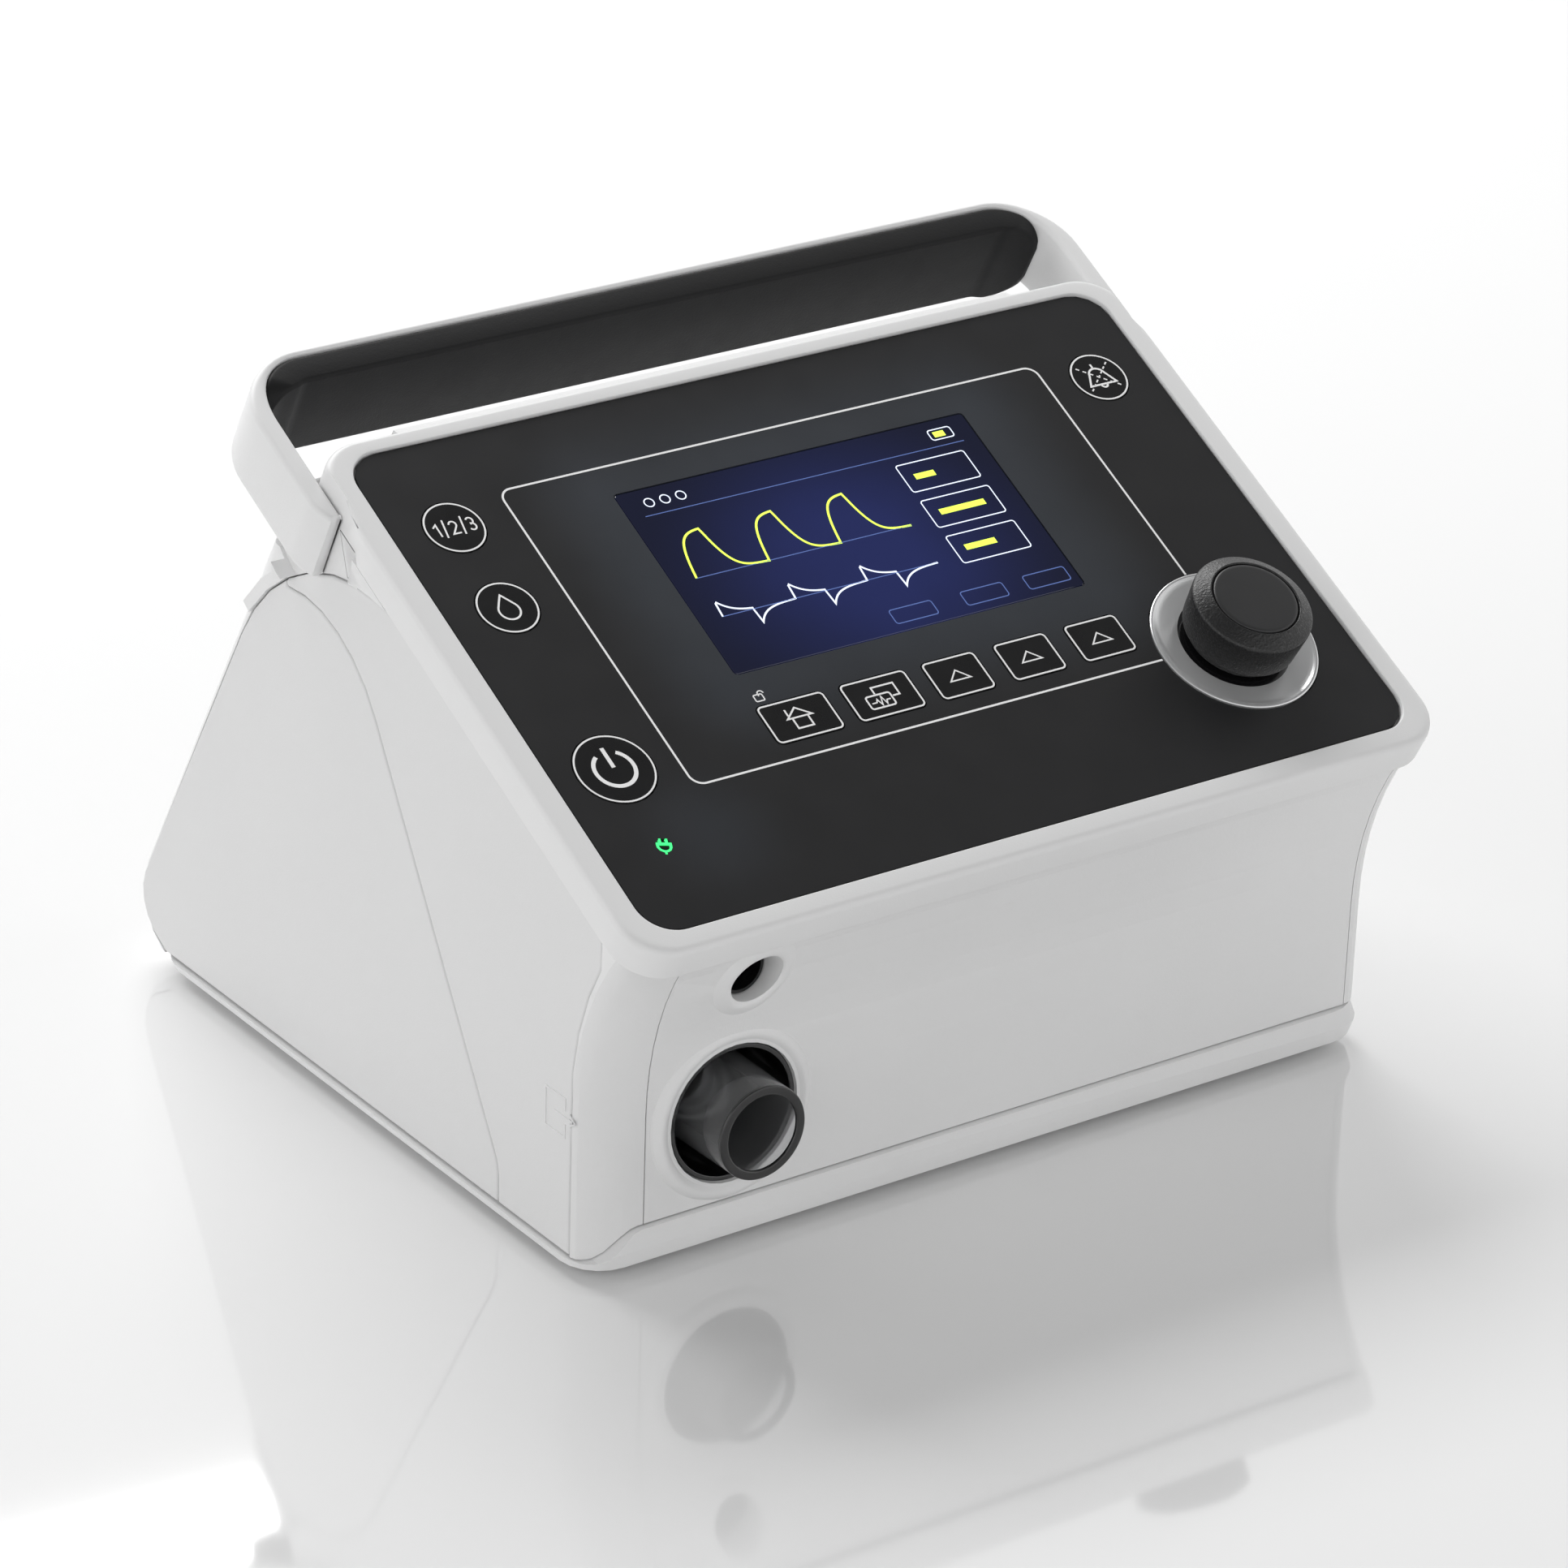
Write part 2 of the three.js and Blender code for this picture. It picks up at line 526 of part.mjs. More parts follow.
function addPanel() {
  const outer = rounded(-BEZEL_HALF, BEZEL_FRONT, BEZEL_HALF, BEZEL_BACK, 11, 5);
  const ring = prism(ALONG_Z, outer, -BEZEL_DEPTH, 0.6, { bevel: 1.6 });
  const cheeks = moved(bothSides(cheekOutline(0), BODY_HALF - 3, BEZEL_HALF), TO_PANEL);
  const foilPocket = prism(
    ALONG_Z, rounded(-FOIL_HALF - GAP, -GAP, FOIL_HALF + GAP, FOIL_LENGTH + GAP, 8.3, 4), -FOIL_THICK - GAP, 10);
  const inside = prism(ALONG_Z, rounded(-BEZEL_HALF + 10, 4, BEZEL_HALF - 10, BEZEL_BACK - 9, 6, 3), -30, 10);
  const recess = moved(bothSides(circle(HANDLE_PIVOT.x, HANDLE_PIVOT.y, SWING_RADIUS, 32), LEG_RECESS, 140), TO_PANEL);
  const corner = moved(
    bothSides([side(PIVOT_S - 6, -60), side(200, -60), side(200, 60), side(PIVOT_S - 6, 60)], LEG_RECESS, 140), TO_PANEL);
  add('display_bezel', cut(join(ring, cheeks), foilPocket, inside, recess, corner), white, panel);

  const cutOuts = [
    ...Object.values(KEYS).map((key) => keyOutline(key, GAP)),
    rounded(SCREEN.x0 - GAP, SCREEN.s0 - GAP, SCREEN.x1 + GAP, SCREEN.s1 + GAP, 1, 2),
    circle(DIAL_X, DIAL_S, DIAL_RADIUS + GAP, 36),
    circle(LAMP.x, LAMP.s, LAMP.radius + GAP, 12),
  ];
  add('front_foil', prism(
    ALONG_Z, rounded(-FOIL_HALF, 0, FOIL_HALF, FOIL_LENGTH, 8, 4), -FOIL_THICK, 0, { holes: cutOuts }), charcoal, panel);
  Object.entries(KEYS).forEach(([name, key]) => {
    add(name, prism(ALONG_Z, keyOutline(key, 0), -KEY_THICK, 0.1), charcoal, panel);
  });
  add('display_window', prism(
    ALONG_Z, rounded(SCREEN.x0, SCREEN.s0, SCREEN.x1, SCREEN.s1, 0.8, 2), -1.2, -0.05), navy, panel);
  add('mains_lamp', rod(ALONG_Z, LAMP.x, LAMP.s, LAMP.radius, -4.5, -0.02, 12), green, panel);

  // Display module and control board hang under the panel.
  const lower = -KEY_THICK - KEY_TRAVEL_ROOM;
  add('lcd_module', prism(ALONG_Z, rounded(-54, 53, 55, 119, 2, 2), lower - 4, -1.6), steel, panel);
  add('display_board', prism(
    ALONG_Z, rounded(-97, 16, 97, 130, 3, 2), -9.2, -7.6, { holes: [circle(DIAL_X, DIAL_S, 9.3, 16)] }), board, panel);

  // Dial ring, encoder, shaft, knob and its cap.
  const dish = [
    [12.6, -0.9], [DIAL_RADIUS, -0.9], [DIAL_RADIUS, 0.35], [DIAL_RADIUS - 0.8, 0.5],
    [12.6, -0.25], [12.6, -0.9]];
  add('dial_ring', turned(ALONG_Z, DIAL_X, DIAL_S, dish, 40), silver, panel);
  add('encoder_body', tube(ALONG_Z, DIAL_X, DIAL_S, 9, 3.4, -12, -1.4, 20), steel, panel);
  add('encoder_shaft', rod(ALONG_Z, DIAL_X, DIAL_S, 3, -10, 8, 16), steel, panel);
  const knobProfile = [
    [3.2, 1.2], [11.8, 1.2], [11.8, 2.6], [13.5, 3], [KNOB_RADIUS - 0.2, 8], [KNOB_RADIUS, 12.2],
    [KNOB_RADIUS - 0.5, 12.8], [10.6, KNOB_TOP], [10.3, KNOB_TOP], [10.3, KNOB_TOP - 1.2],
    [3.2, KNOB_TOP - 1.2], [3.2, 1.2]];
  add('knob_body', turned(ALONG_Z, DIAL_X, DIAL_S, knobProfile, 32), black, panel);
  add('knob_cap', rod(ALONG_Z, DIAL_X, DIAL_S, 10, KNOB_TOP - 0.9, KNOB_TOP, 32), black, panel);
}

// ---------------------------------------------------------------- handle

function addHandle() {
  const inner = HANDLE_HALF - BAND_THICK;
  const insideCorner = HANDLE_CORNER - BAND_THICK;
  const cornerX = inner - insideCorner;
  const cornerS = BAR_BACK - BAR_THICK - insideCorner;
  const nose = LEG_START + 9.5;
  const outline = [
    point(-inner, nose), point(-HANDLE_HALF + 0.8, LEG_START), point(-HANDLE_HALF, LEG_START + 0.6),
    ...arc(-HANDLE_HALF + HANDLE_CORNER, BAR_BACK - HANDLE_CORNER, HANDLE_CORNER, 180, 90, 6),
    ...arc(HANDLE_HALF - HANDLE_CORNER, BAR_BACK - HANDLE_CORNER, HANDLE_CORNER, 90, 0, 6),
    point(HANDLE_HALF, LEG_START + 0.6), point(HANDLE_HALF - 0.8, LEG_START), point(inner, nose),
    ...arc(cornerX, cornerS, insideCorner, 0, 90, 5),
    ...arc(-cornerX, cornerS, insideCorner, 90, 180, 5),
  ];
  const floor = BAND_TOP - BAND_HEIGHT;
  const pinHole = circle(HANDLE_PIVOT.x, HANDLE_PIVOT.y, PIN_RADIUS + GAP, 20);
  const pinHoles = moved(bothSides(pinHole, 100, HANDLE_HALF - 2), TO_PANEL);
  add('handle_bail', cut(prism(ALONG_Z, outline, floor, BAND_TOP), pinHoles), white, panel);

  // The grip lines the bar and follows its corners a little way down the legs.
  const padBack = BAR_BACK - BAR_THICK - GAP;
  const padCorner = insideCorner - GAP;
  const bend = 55;
  const plan = [
    ...arc(cornerX, cornerS, padCorner, 90 - bend, 90, 5),
    ...arc(-cornerX, cornerS, padCorner, 90, 90 + bend, 5),
    ...arc(-cornerX, cornerS, padCorner - PAD_THICK, 90 + bend, 90, 5),
    ...arc(cornerX, cornerS, padCorner - PAD_THICK, 90, 90 - bend, 5),
  ];
  const padEnd = cornerX + padCorner * Math.sin(THREE.MathUtils.degToRad(bend));
  const padFloor = floor - PAD_DROP;
  const outlineFromFront = rounded(-padEnd, padFloor, padEnd, BAND_TOP - 0.4, 8.5, 5);
  const face = prism(ALONG_MINUS_Y, outlineFromFront, -padBack - 1, -padBack + 20);
  add('handle_grip', prism(ALONG_Z, plan, padFloor, BAND_TOP).intersect(face), black, panel);

  [-1, 1].forEach((sign) => {
    const reach = [HANDLE_HALF - 2.4, 97].map((x) => sign * x).sort((a, b) => a - b);
    add(`handle_pin_${sign < 0 ? 'left' : 'right'}`, moved(
      prism(ALONG_X, circle(HANDLE_PIVOT.x, HANDLE_PIVOT.y, PIN_RADIUS, 20), ...reach), TO_PANEL), steel, panel);
  });
}

// ---------------------------------------------------------------- hose outlet and air path

function addOutlet() {
  const tip = -OUTLET_TIP;
  const root = 62;
  const lip = 1;
  const tubeProfile = [
    [OUTLET_BORE, root], [OUTLET_OUTER + 0.6, root], [OUTLET_OUTER, tip - lip], [OUTLET_OUTER - 0.3, tip],
    [OUTLET_BORE + 0.3, tip], [OUTLET_BORE, tip - lip], [OUTLET_BORE, root]];
  add('outlet_tube', turned(ALONG_MINUS_Y, OUTLET_X, OUTLET_Z, tubeProfile), smoke);
  const mouth = -FRONT_Y + 0.9;
  const bowl = [
    [12.2, 63], [BOWL_OUTER, 63], [BOWL_OUTER, mouth], [BOWL_INNER, mouth], [BOWL_INNER, 66],
    [12.2, 66], [12.2, 63]];
  add('outlet_socket', turned(ALONG_MINUS_Y, OUTLET_X, OUTLET_Z, bowl), glossBlack);
  add('outlet_seal', tube(ALONG_MINUS_Y, OUTLET_X, OUTLET_Z, 13.5, OUTLET_BORE, 58.5, 61.7), rubber);
  const port = [
    [0, 66], [PORT_OUTER, 66], [PORT_OUTER, PORT_MOUTH], [PORT_OUTER - 1, PORT_MOUTH],
    [PORT_OUTER - 1, 72], [1.6, 72], [1.6, 80], [0, 80]];
  add('pressure_port', turned(ALONG_MINUS_Y, PORT_X, PORT_Z, port, 32), glossBlack);
  add('flow_sensor', tube(ALONG_MINUS_Y, OUTLET_X, OUTLET_Z, 13, OUTLET_BORE, 34, 58.2, 20), glossBlack);
  add('outlet_duct', tube(ALONG_MINUS_Y, OUTLET_X, OUTLET_Z, 11.5, OUTLET_BORE, 12.6, 33.7, 20), lightGrey);
}

function addBlower() {
  const x = -45;
  const y = 22;
  const radius = 34;
  const low = 20;
  const high = 46;
  const centreZ = OUTLET_Z;
  const exit = rod(ALONG_MINUS_Y, OUTLET_X, centreZ, 11, -y - 4, 12.3, 20);
  const exitBore = rod(ALONG_MINUS_Y, OUTLET_X, centreZ, OUTLET_BORE, -y, 13, 20);
  const chamber = rod(ALONG_Z, x, y, radius - WALL, low + WALL, high - WALL, 32);
  add('blower_housing', cut(
    join(rod(ALONG_Z, x, y, radius, low, high, 32), exit), chamber, exitBore,
    rod(ALONG_Z, x, y, 14, high - 5, high + 5, 24), rod(ALONG_Z, x, y, 4, low - 5, low + 5, 16)), lightGrey);
  const blades = Array.from({ length: 9 }, (_, i) => {
    const blade = prism(ALONG_Z, rectangle(6, -0.7, 25, 0.7), 28, 39);
    const turn = new Matrix4().makeTranslation(x, y, 0).multiply(new Matrix4().makeRotationZ(i * 2 * Math.PI / 9));
    return moved(blade, turn);
  });
  add('blower_impeller', join(
    rod(ALONG_Z, x, y, 26, 25.5, 28.5, 32), rod(ALONG_Z, x, y, 7, 25, 38, 16),
    rod(ALONG_Z, x, y, 2.5, 18, 30, 12), ...blades), lightGrey);
  add('blower_motor', cut(rod(ALONG_Z, x, y, 17, 8.5, low - GAP, 24), rod(ALONG_Z, x, y, 3, 14, 30, 12)), steel);
  add('blower_mount', cut(
    prism(ALONG_Z, rounded(x - 30, y - 30, x + 30, y + 30, 8, 3), 5.5, 12), rod(ALONG_Z, x, y, 17 + GAP, 8, 20, 24)), rubber);
}

function addElectronics() {
  add('main_board', block(-8, -66, 16, 84, 8, 17.6), board);
  add('battery_pack', prism(ALONG_Z, rounded(4, 20, 84, 82, 4, 2), 6, 26), charcoal);
  add('alarm_speaker', turned(ALONG_MINUS_Y, 40, 60, [[0, 68], [16, 68], [16, 72], [8, 76], [0, 76]], 24), black);
  const { y0, y1, z0, z1 } = FILTER_BAY;
  const bay = prism(ALONG_X, rectangle(y0 + GAP, z0 + GAP, y1 - GAP, z1 - GAP), 86, 102.6);
  const bayRoom = prism(ALONG_X, rectangle(y0 + 2.3, z0 + 2.3, y1 - 2.3, z1 - 2.3), 88, 110);
  add('filter_tray', cut(bay, bayRoom, prism(ALONG_X, circle(33, 42, 12), 80, 90)), lightGrey);
  const sheet = (from, to) => prism(ALONG_X, rectangle(y0 + 2.6, z0 + 2.6, y1 - 2.6, z1 - 2.6), from, to);
  add('fine_filter', sheet(88.4, 91), felt);
  add('coarse_filter', sheet(91.4, 98), foam);

  const card = (margin, from, to) => prism(
    ALONG_X, rectangle(CARD.y0 - margin, CARD.z - margin, CARD.y1 + margin, CARD.z + CARD.thick + margin), from, to);
  add('sd_card', card(0, 75, BODY_HALF + 0.8), navy);
  add('card_slot', cut(card(2.3, 70, 99), card(0.35, 74, 110)), steel);

  const socket = (centre, y0Socket, y1Socket) => block(
    centre.x - centre.half + GAP, y0Socket, centre.z - centre.height + GAP,
    centre.x + centre.half - GAP, y1Socket, centre.z + centre.height - GAP);
  const powerPins = [-5, 0, 5].map((dx) => rod(ALONG_MINUS_Y, INLET.x + dx, INLET.z, 1.2, -98, -86, 10));
  const powerHollow = block(INLET.x - 10.5, 88, INLET.z - 5.5, INLET.x + 10.5, 130, INLET.z + 5.5);
  add('power_inlet', join(cut(socket(INLET, 84, 99.5), powerHollow), ...powerPins), glossBlack);
  const dataHollow = block(DATA_PORT.x - 5.8, 90, DATA_PORT.z - 4.6, DATA_PORT.x + 5.8, 130, DATA_PORT.z + 4.6);
  add('data_port', cut(socket(DATA_PORT, 86, 99.5), dataHollow), glossBlack);
}

addBase();
addHousing();
addCovers();
addPanel();
addHandle();
addOutlet();
addBlower();
addElectronics();

export default ventilator;
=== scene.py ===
"""Surfaces, finishes and a plain studio for a portable ventilator, built round its frame."""

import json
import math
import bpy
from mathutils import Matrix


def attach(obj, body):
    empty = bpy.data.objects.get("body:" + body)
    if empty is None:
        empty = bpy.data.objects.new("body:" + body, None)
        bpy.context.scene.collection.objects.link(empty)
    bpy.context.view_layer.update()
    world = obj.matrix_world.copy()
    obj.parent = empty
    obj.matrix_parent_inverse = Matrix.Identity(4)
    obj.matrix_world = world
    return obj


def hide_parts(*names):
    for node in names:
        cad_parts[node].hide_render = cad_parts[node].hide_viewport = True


bl_info = {
    "name": "Portable ventilator",
    "version": (1, 0, 0),
    "blender": (4, 5, 0),
    "location": "View3D > Sidebar > Ventilator",
    "description": "Builds the surfaces, finishes and studio of a portable ventilator",
    "category": "Object",
}

import bmesh
import bpy
import numpy as np
from mathutils import Matrix, Vector

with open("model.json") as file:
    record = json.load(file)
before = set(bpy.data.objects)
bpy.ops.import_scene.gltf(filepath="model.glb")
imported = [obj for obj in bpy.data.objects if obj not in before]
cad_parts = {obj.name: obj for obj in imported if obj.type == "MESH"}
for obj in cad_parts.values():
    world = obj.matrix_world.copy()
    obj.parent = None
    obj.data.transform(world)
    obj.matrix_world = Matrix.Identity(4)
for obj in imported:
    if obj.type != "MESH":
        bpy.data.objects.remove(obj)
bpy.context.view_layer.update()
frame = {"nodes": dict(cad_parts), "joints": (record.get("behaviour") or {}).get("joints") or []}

# ---------------------------------------------------------------- the frame, in millimetres

MM = 0.001
NODES = frame["nodes"]
JOINTS = {joint["name"]: joint for joint in frame["joints"]}
KEYS = (
    "power_key", "humidifier_key", "program_key", "alarm_mute_key", "home_key", "monitor_key",
    "function_key_left", "function_key_middle", "function_key_right",
)


def node_points(*names):
    """Vertices of CAD nodes as rows of x, y, z in millimetres."""
    sets = []
    for name in names:
        mesh = NODES[name].data
        flat = np.empty(len(mesh.vertices) * 3)
        mesh.vertices.foreach_get("co", flat)
        sets.append(flat.reshape(-1, 3) / MM)
    return np.vstack(sets)


# The control panel's own axes: x to the right, s up the slope and h out of it. Its origin is
# the middle of the foil's front edge, on the foil's face.
OUTWARD = -np.array(JOINTS["knob_press"]["axis"], float)
UPWARD = np.array([0.0, OUTWARD[2], -OUTWARD[1]])
_foil = node_points("front_foil")
ORIGIN = UPWARD * (_foil @ UPWARD).min() + OUTWARD * (_foil @ OUTWARD).max()
PIN = np.array(JOINTS["handle_swing"]["pos_m"]) / MM - ORIGIN
INK_ROOT = 0.03  # how far printed ink reaches down into what it is printed on
NOSE_SWING = 17.8  # radius about the handle's pin that the noses of its legs follow
SAME_CORNER = 2e-6  # metres between corners that count as one
FLAT = math.radians(0.6)  # angle between faces that count as one flat face


def on_panel(points):
    """Panel coordinates x, s, h in millimetres as places in metres: origin + x, s and h steps."""
    points = np.asarray(points, float)
    x, s, h = points[..., 0:1], points[..., 1:2], points[..., 2:3]
    return (ORIGIN + x * np.array([1.0, 0, 0]) + s * UPWARD + h * OUTWARD) * MM


def panel_span(name):
    """Lowest and highest x, s, h of a CAD node in panel coordinates."""
    points = node_points(name)
    local = np.stack([points[:, 0], (points - ORIGIN) @ UPWARD, (points - ORIGIN) @ OUTWARD], 1)
    return local.min(0), local.max(0)


def row_span(name):
    """Lowest and highest x, y, z of a CAD node in millimetres."""
    points = node_points(name)
    return points.min(0), points.max(0)


# ---------------------------------------------------------------- sizes and colours to change


def amount(name, description, default, **kind):
    return bpy.props.FloatProperty(name=name, description=description, default=default, **kind)


def tint(name, description, default):
    return bpy.props.FloatVectorProperty(
        name=name, description=description, subtype="COLOR", size=4, default=(*default, 1))


class VentilatorSizes(bpy.types.PropertyGroup):
    edge: amount("Edge rounding", "Radius of the mouldings' edges", 0.0006, unit="LENGTH")
    rim_edge: amount("Rim rounding", "Radius of the housing's edges", 0.0009, unit="LENGTH")
    print_width: amount("Line width", "Width of the lines printed on the foil, in millimetres", 0.4)
    print_height: amount("Print thickness", "Thickness of the printed ink, in millimetres", 0.05)
    knob_groove: amount("Cap groove", "Depth of the groove round the knob's cap, in millimetres", 0.35)
    crown: amount("Surround crown", "Height of the surround over the foil, in millimetres", 0.6)
    sides: bpy.props.IntProperty(
        name="Turned sides", description="Sides of a turned piece", default=96, min=24, max=256)


class VentilatorColours(bpy.types.PropertyGroup):
    shell: tint("Shell", "White mouldings", (0.86, 0.86, 0.86))
    side: tint("Side panels", "Pale grey mouldings", (0.81, 0.81, 0.81))
    foil: tint("Foil", "Charcoal control foil", (0.017, 0.017, 0.018))
    # Colour of the painted highlight on the foil round the screen and beside the mains lamp.
    painted_highlight: tint("Foil glow", "Foil beside the lit screen", (0.045, 0.052, 0.064))
    ink: tint("Ink", "White print", (0.9, 0.9, 0.9))
    screen: tint("Screen", "Middle of the lit screen", (0.009, 0.014, 0.075))
    trace: tint("Trace", "Pressure curve on the screen", (0.62, 0.86, 0.08))
    grip: tint("Grip", "Black mouldings", (0.009, 0.009, 0.0095))
    lamp: tint("Mains lamp", "Green mains symbol", (0.05, 0.8, 0.2))


class VentilatorStudio(bpy.types.PropertyGroup):
    azimuth: amount("Azimuth", "Turn of the view from straight ahead", math.radians(-36.11), subtype="ANGLE")
    elevation: amount("Elevation", "Height of the view", math.radians(25.01), subtype="ANGLE")
    roll: amount("Roll", "Lean of the view", math.radians(1.92), subtype="ANGLE")
    distance: amount("Distance", "Camera to the object's middle", 1.4124, unit="LENGTH")
    lens: amount("Lens", "Focal length in millimetres", 141.6)
    aim: bpy.props.FloatVectorProperty(
        name="Aim", description="Point in the middle of the view", size=3, subtype="TRANSLATION",
        default=(0.0025, 0.0, 0.058))
    sky: amount("Sky", "Strength of the white walls", 1.0)
    ceiling: amount("Ceiling", "Brightness overhead, as a share of the walls'", 0.12)
    key: amount("Key light", "Power of the light from behind", 28, unit="POWER")
    wall: amount("Wall light", "Power of the light on the left", 1.5, unit="POWER")
    mirror: amount("Floor mirror", "Share of the floor that is mirror", 0.14)


def sizes():
    return bpy.context.scene.ventilator_sizes


def colours():
    return bpy.context.scene.ventilator_colours


# ---------------------------------------------------------------- outlines


def turn(angles):
    """Unit vectors at angles in degrees."""
    radians = np.radians(angles)
    return np.stack([np.cos(radians), np.sin(radians)], -1)


def arc_path(centre, radius, start, end, steps):
    """Points on a circle's arc from start to end degrees."""
    return np.asarray(centre, float) + radius * turn(np.linspace(start, end, steps + 1))


def ring_path(centre, radius, steps=64):
    """Points once round a circle, the last one short of the first."""
    return arc_path(centre, radius, 0, 360, steps)[:-1]


def box_path(low, high, radius, steps=8):
    """Round a rectangle with round corners: four quarter arcs, joined by straight runs."""
    (x0, y0), (x1, y1) = low, high
    corners = (
        ((x1 - radius, y0 + radius), -90), ((x1 - radius, y1 - radius), 0),
        ((x0 + radius, y1 - radius), 90), ((x0 + radius, y0 + radius), 180))
    return np.vstack([arc_path(centre, radius, start, start + 90, steps) for centre, start in corners])


def spread(path, gap):
    """A closed path with extra points, so that no two are further apart than the gap."""
    ends = np.roll(path, -1, axis=0)
    counts = np.maximum(1, np.ceil(np.linalg.norm(ends - path, axis=1) / gap).astype(int))
    return np.vstack([
        a + (b - a) * np.linspace(0, 1, n, endpoint=False)[:, None] for a, b, n in zip(path, ends, counts)])


def sideways(path, closed):
    """Unit vectors square to a path, mitred at its corners."""
    if closed:
        ahead, behind = np.roll(path, -1, 0) - path, path - np.roll(path, 1, 0)
    else:
        step = np.diff(path, axis=0)
        ahead, behind = np.vstack([step, step[-1:]]), np.vstack([step[:1], step])
    ahead = ahead / np.linalg.norm(ahead, axis=1, keepdims=True)
    behind = behind / np.linalg.norm(behind, axis=1, keepdims=True)
    middle = ahead + behind
    middle /= np.linalg.norm(middle, axis=1, keepdims=True)
    square = np.stack([middle[:, 1], -middle[:, 0]], 1)
    return square / np.maximum(0.35, (middle * ahead).sum(1))[:, None]


# ---------------------------------------------------------------- meshes from grids


def grid_faces(rows, columns, around=True, loop=False, caps=(False, False)):
    """Quads between neighbouring rows of a grid of points, with an optional n-sided lid on each end."""
    index = np.arange(rows * columns).reshape(rows, columns)
    low, high = (index, np.roll(index, -1, 0)) if loop else (index[:-1], index[1:])
    if around:
        quads = np.stack([low, np.roll(low, -1, 1), np.roll(high, -1, 1), high], -1)
    else:
        quads = np.stack([low[:, :-1], low[:, 1:], high[:, 1:], high[:, :-1]], -1)
    faces = quads.reshape(-1, 4).tolist()
    if caps[0]:
        faces.append(index[0, ::-1].tolist())
    if caps[1]:
        faces.append(index[-1].tolist())
    return faces


def skin(points, place=on_panel, around=True, loop=False, caps=(False, False)):
    """A grid of points, rows by columns, as a part: places in metres and faces."""
    points = np.asarray(points, float)
    rows, columns = points.shape[:2]
    return place(points).reshape(-1, 3), grid_faces(rows, columns, around, loop, caps)


def build(name, parts, finishes, body, stands_for=(), smooth=32):
    """One object from several parts, each places, faces and a material's number. Doubles are
    merged, faces turned outwards, and edges sharper than the smoothing angle kept crisp. The
    slot is that of the first finish."""
    places, faces, numbers, count = [], [], [], 0
    for part in parts:
        points, quads, number = part if len(part) == 3 else (*part, 0)
        places.append(points)
        faces += [[corner + count for corner in face] for face in quads]
        numbers += [number] * len(quads)
        count += len(points)
    mesh = bpy.data.meshes.new(name)
    mesh.from_pydata(np.vstack(places).tolist(), [], faces)
    mesh.polygons.foreach_set("material_index", numbers)
    for finish_name in finishes:
        mesh.materials.append(FINISHES[finish_name])
    work = bmesh.new()
    work.from_mesh(mesh)
    bmesh.ops.remove_doubles(work, verts=work.verts, dist=1e-7)
    bmesh.ops.recalc_face_normals(work, faces=work.faces)
    work.to_mesh(mesh)
    work.free()
    return finish(name, mesh, body, stands_for, smooth)


def finish(name, mesh, body, stands_for, smooth=32):
    """Links a mesh as a piece that rides on a body and stands for CAD nodes."""
    mesh.shade_smooth()
    mesh.set_sharp_from_angle(angle=math.radians(smooth))
    piece = bpy.data.objects.new(name, mesh)
    bpy.context.scene.collection.objects.link(piece)
    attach(piece, body)
    if stands_for:
        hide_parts(*stands_for)
    return piece


def node_copy(node, name, finish_name, reshape=None):
    """A copy of a CAD node's mesh in a finish, its triangles merged into flat faces. Reshape is
    done to it on the way."""
    mesh = NODES[node].data.copy()
    mesh.name = name
    mesh.materials.clear()
    mesh.materials.append(FINISHES[finish_name])
    work = bmesh.new()
    work.from_mesh(mesh)
    bmesh.ops.remove_doubles(work, verts=work.verts, dist=SAME_CORNER)
    if reshape:
        reshape(work)
    bmesh.ops.dissolve_limit(work, angle_limit=FLAT, verts=work.verts, edges=work.edges)
    work.to_mesh(mesh)
    work.free()
    return mesh


def eased(node, name, finish_name, body, width, segments=3, smooth=32):
    """A copy of a CAD node with its edges rounded."""
    copy = node_copy(node, name, finish_name)
    piece = finish(name, copy, body, (node,), smooth)
    bevel = piece.modifiers.new("rounding", "BEVEL")
    bevel.width = width
    bevel.segments = segments
    bevel.limit_method = "ANGLE"
    bevel.angle_limit = math.radians(smooth)
    bevel.harden_normals = True
    return piece


def turned(centre, profile, place=on_panel, sides=None):
    """A surface of revolution: each [radius, height] of the profile is a circle about the centre,
    in the panel's x and s with the height along h."""
    sides = sides or sizes().sides
    profile = np.asarray(profile, float)
    spokes = turn(np.linspace(0, 360, sides, endpoint=False))
    flat = np.asarray(centre, float)[:2] + profile[:, None, 0:1] * spokes[None]
    height = np.broadcast_to(profile[:, None, 1:2], (len(profile), sides, 1))
    return skin(np.concatenate([flat, height], -1), place)


def turned_ring(centre, profile, place=on_panel):
    """A surface of revolution whose profile closes on itself clear of the axis."""
    return turned(centre, [*profile, profile[0]], place)


def at_height(path, height):
    return np.column_stack([path, np.full(len(path), height)])


def along_minus_y(points):
    """x, z, reach with the reach measured towards the front, as places in metres."""
    points = np.asarray(points, float)
    return np.stack([points[..., 0], -points[..., 2], points[..., 1]], -1) * MM


def line(path, low, high, closed=False, width=None, place=on_panel):
    """A printed line: a band of even width either side of a path, mitred at the corners, with a
    flat top and square ends. Points that repeat the one before are dropped."""
    path = np.asarray(path, float)
    path = path[np.r_[True, np.linalg.norm(np.diff(path, axis=0), axis=1) > 1e-6]]
    half = (width or sizes().print_width) / 2
    off = sideways(path, closed) * half
    left, right = path - off, path + off
    corners = ((left, low), (left, high), (right, high), (right, low))
    band = np.stack([at_height(edge, height) for edge, height in corners], 1)
    return skin(band, place, around=True, loop=closed, caps=(not closed, not closed))


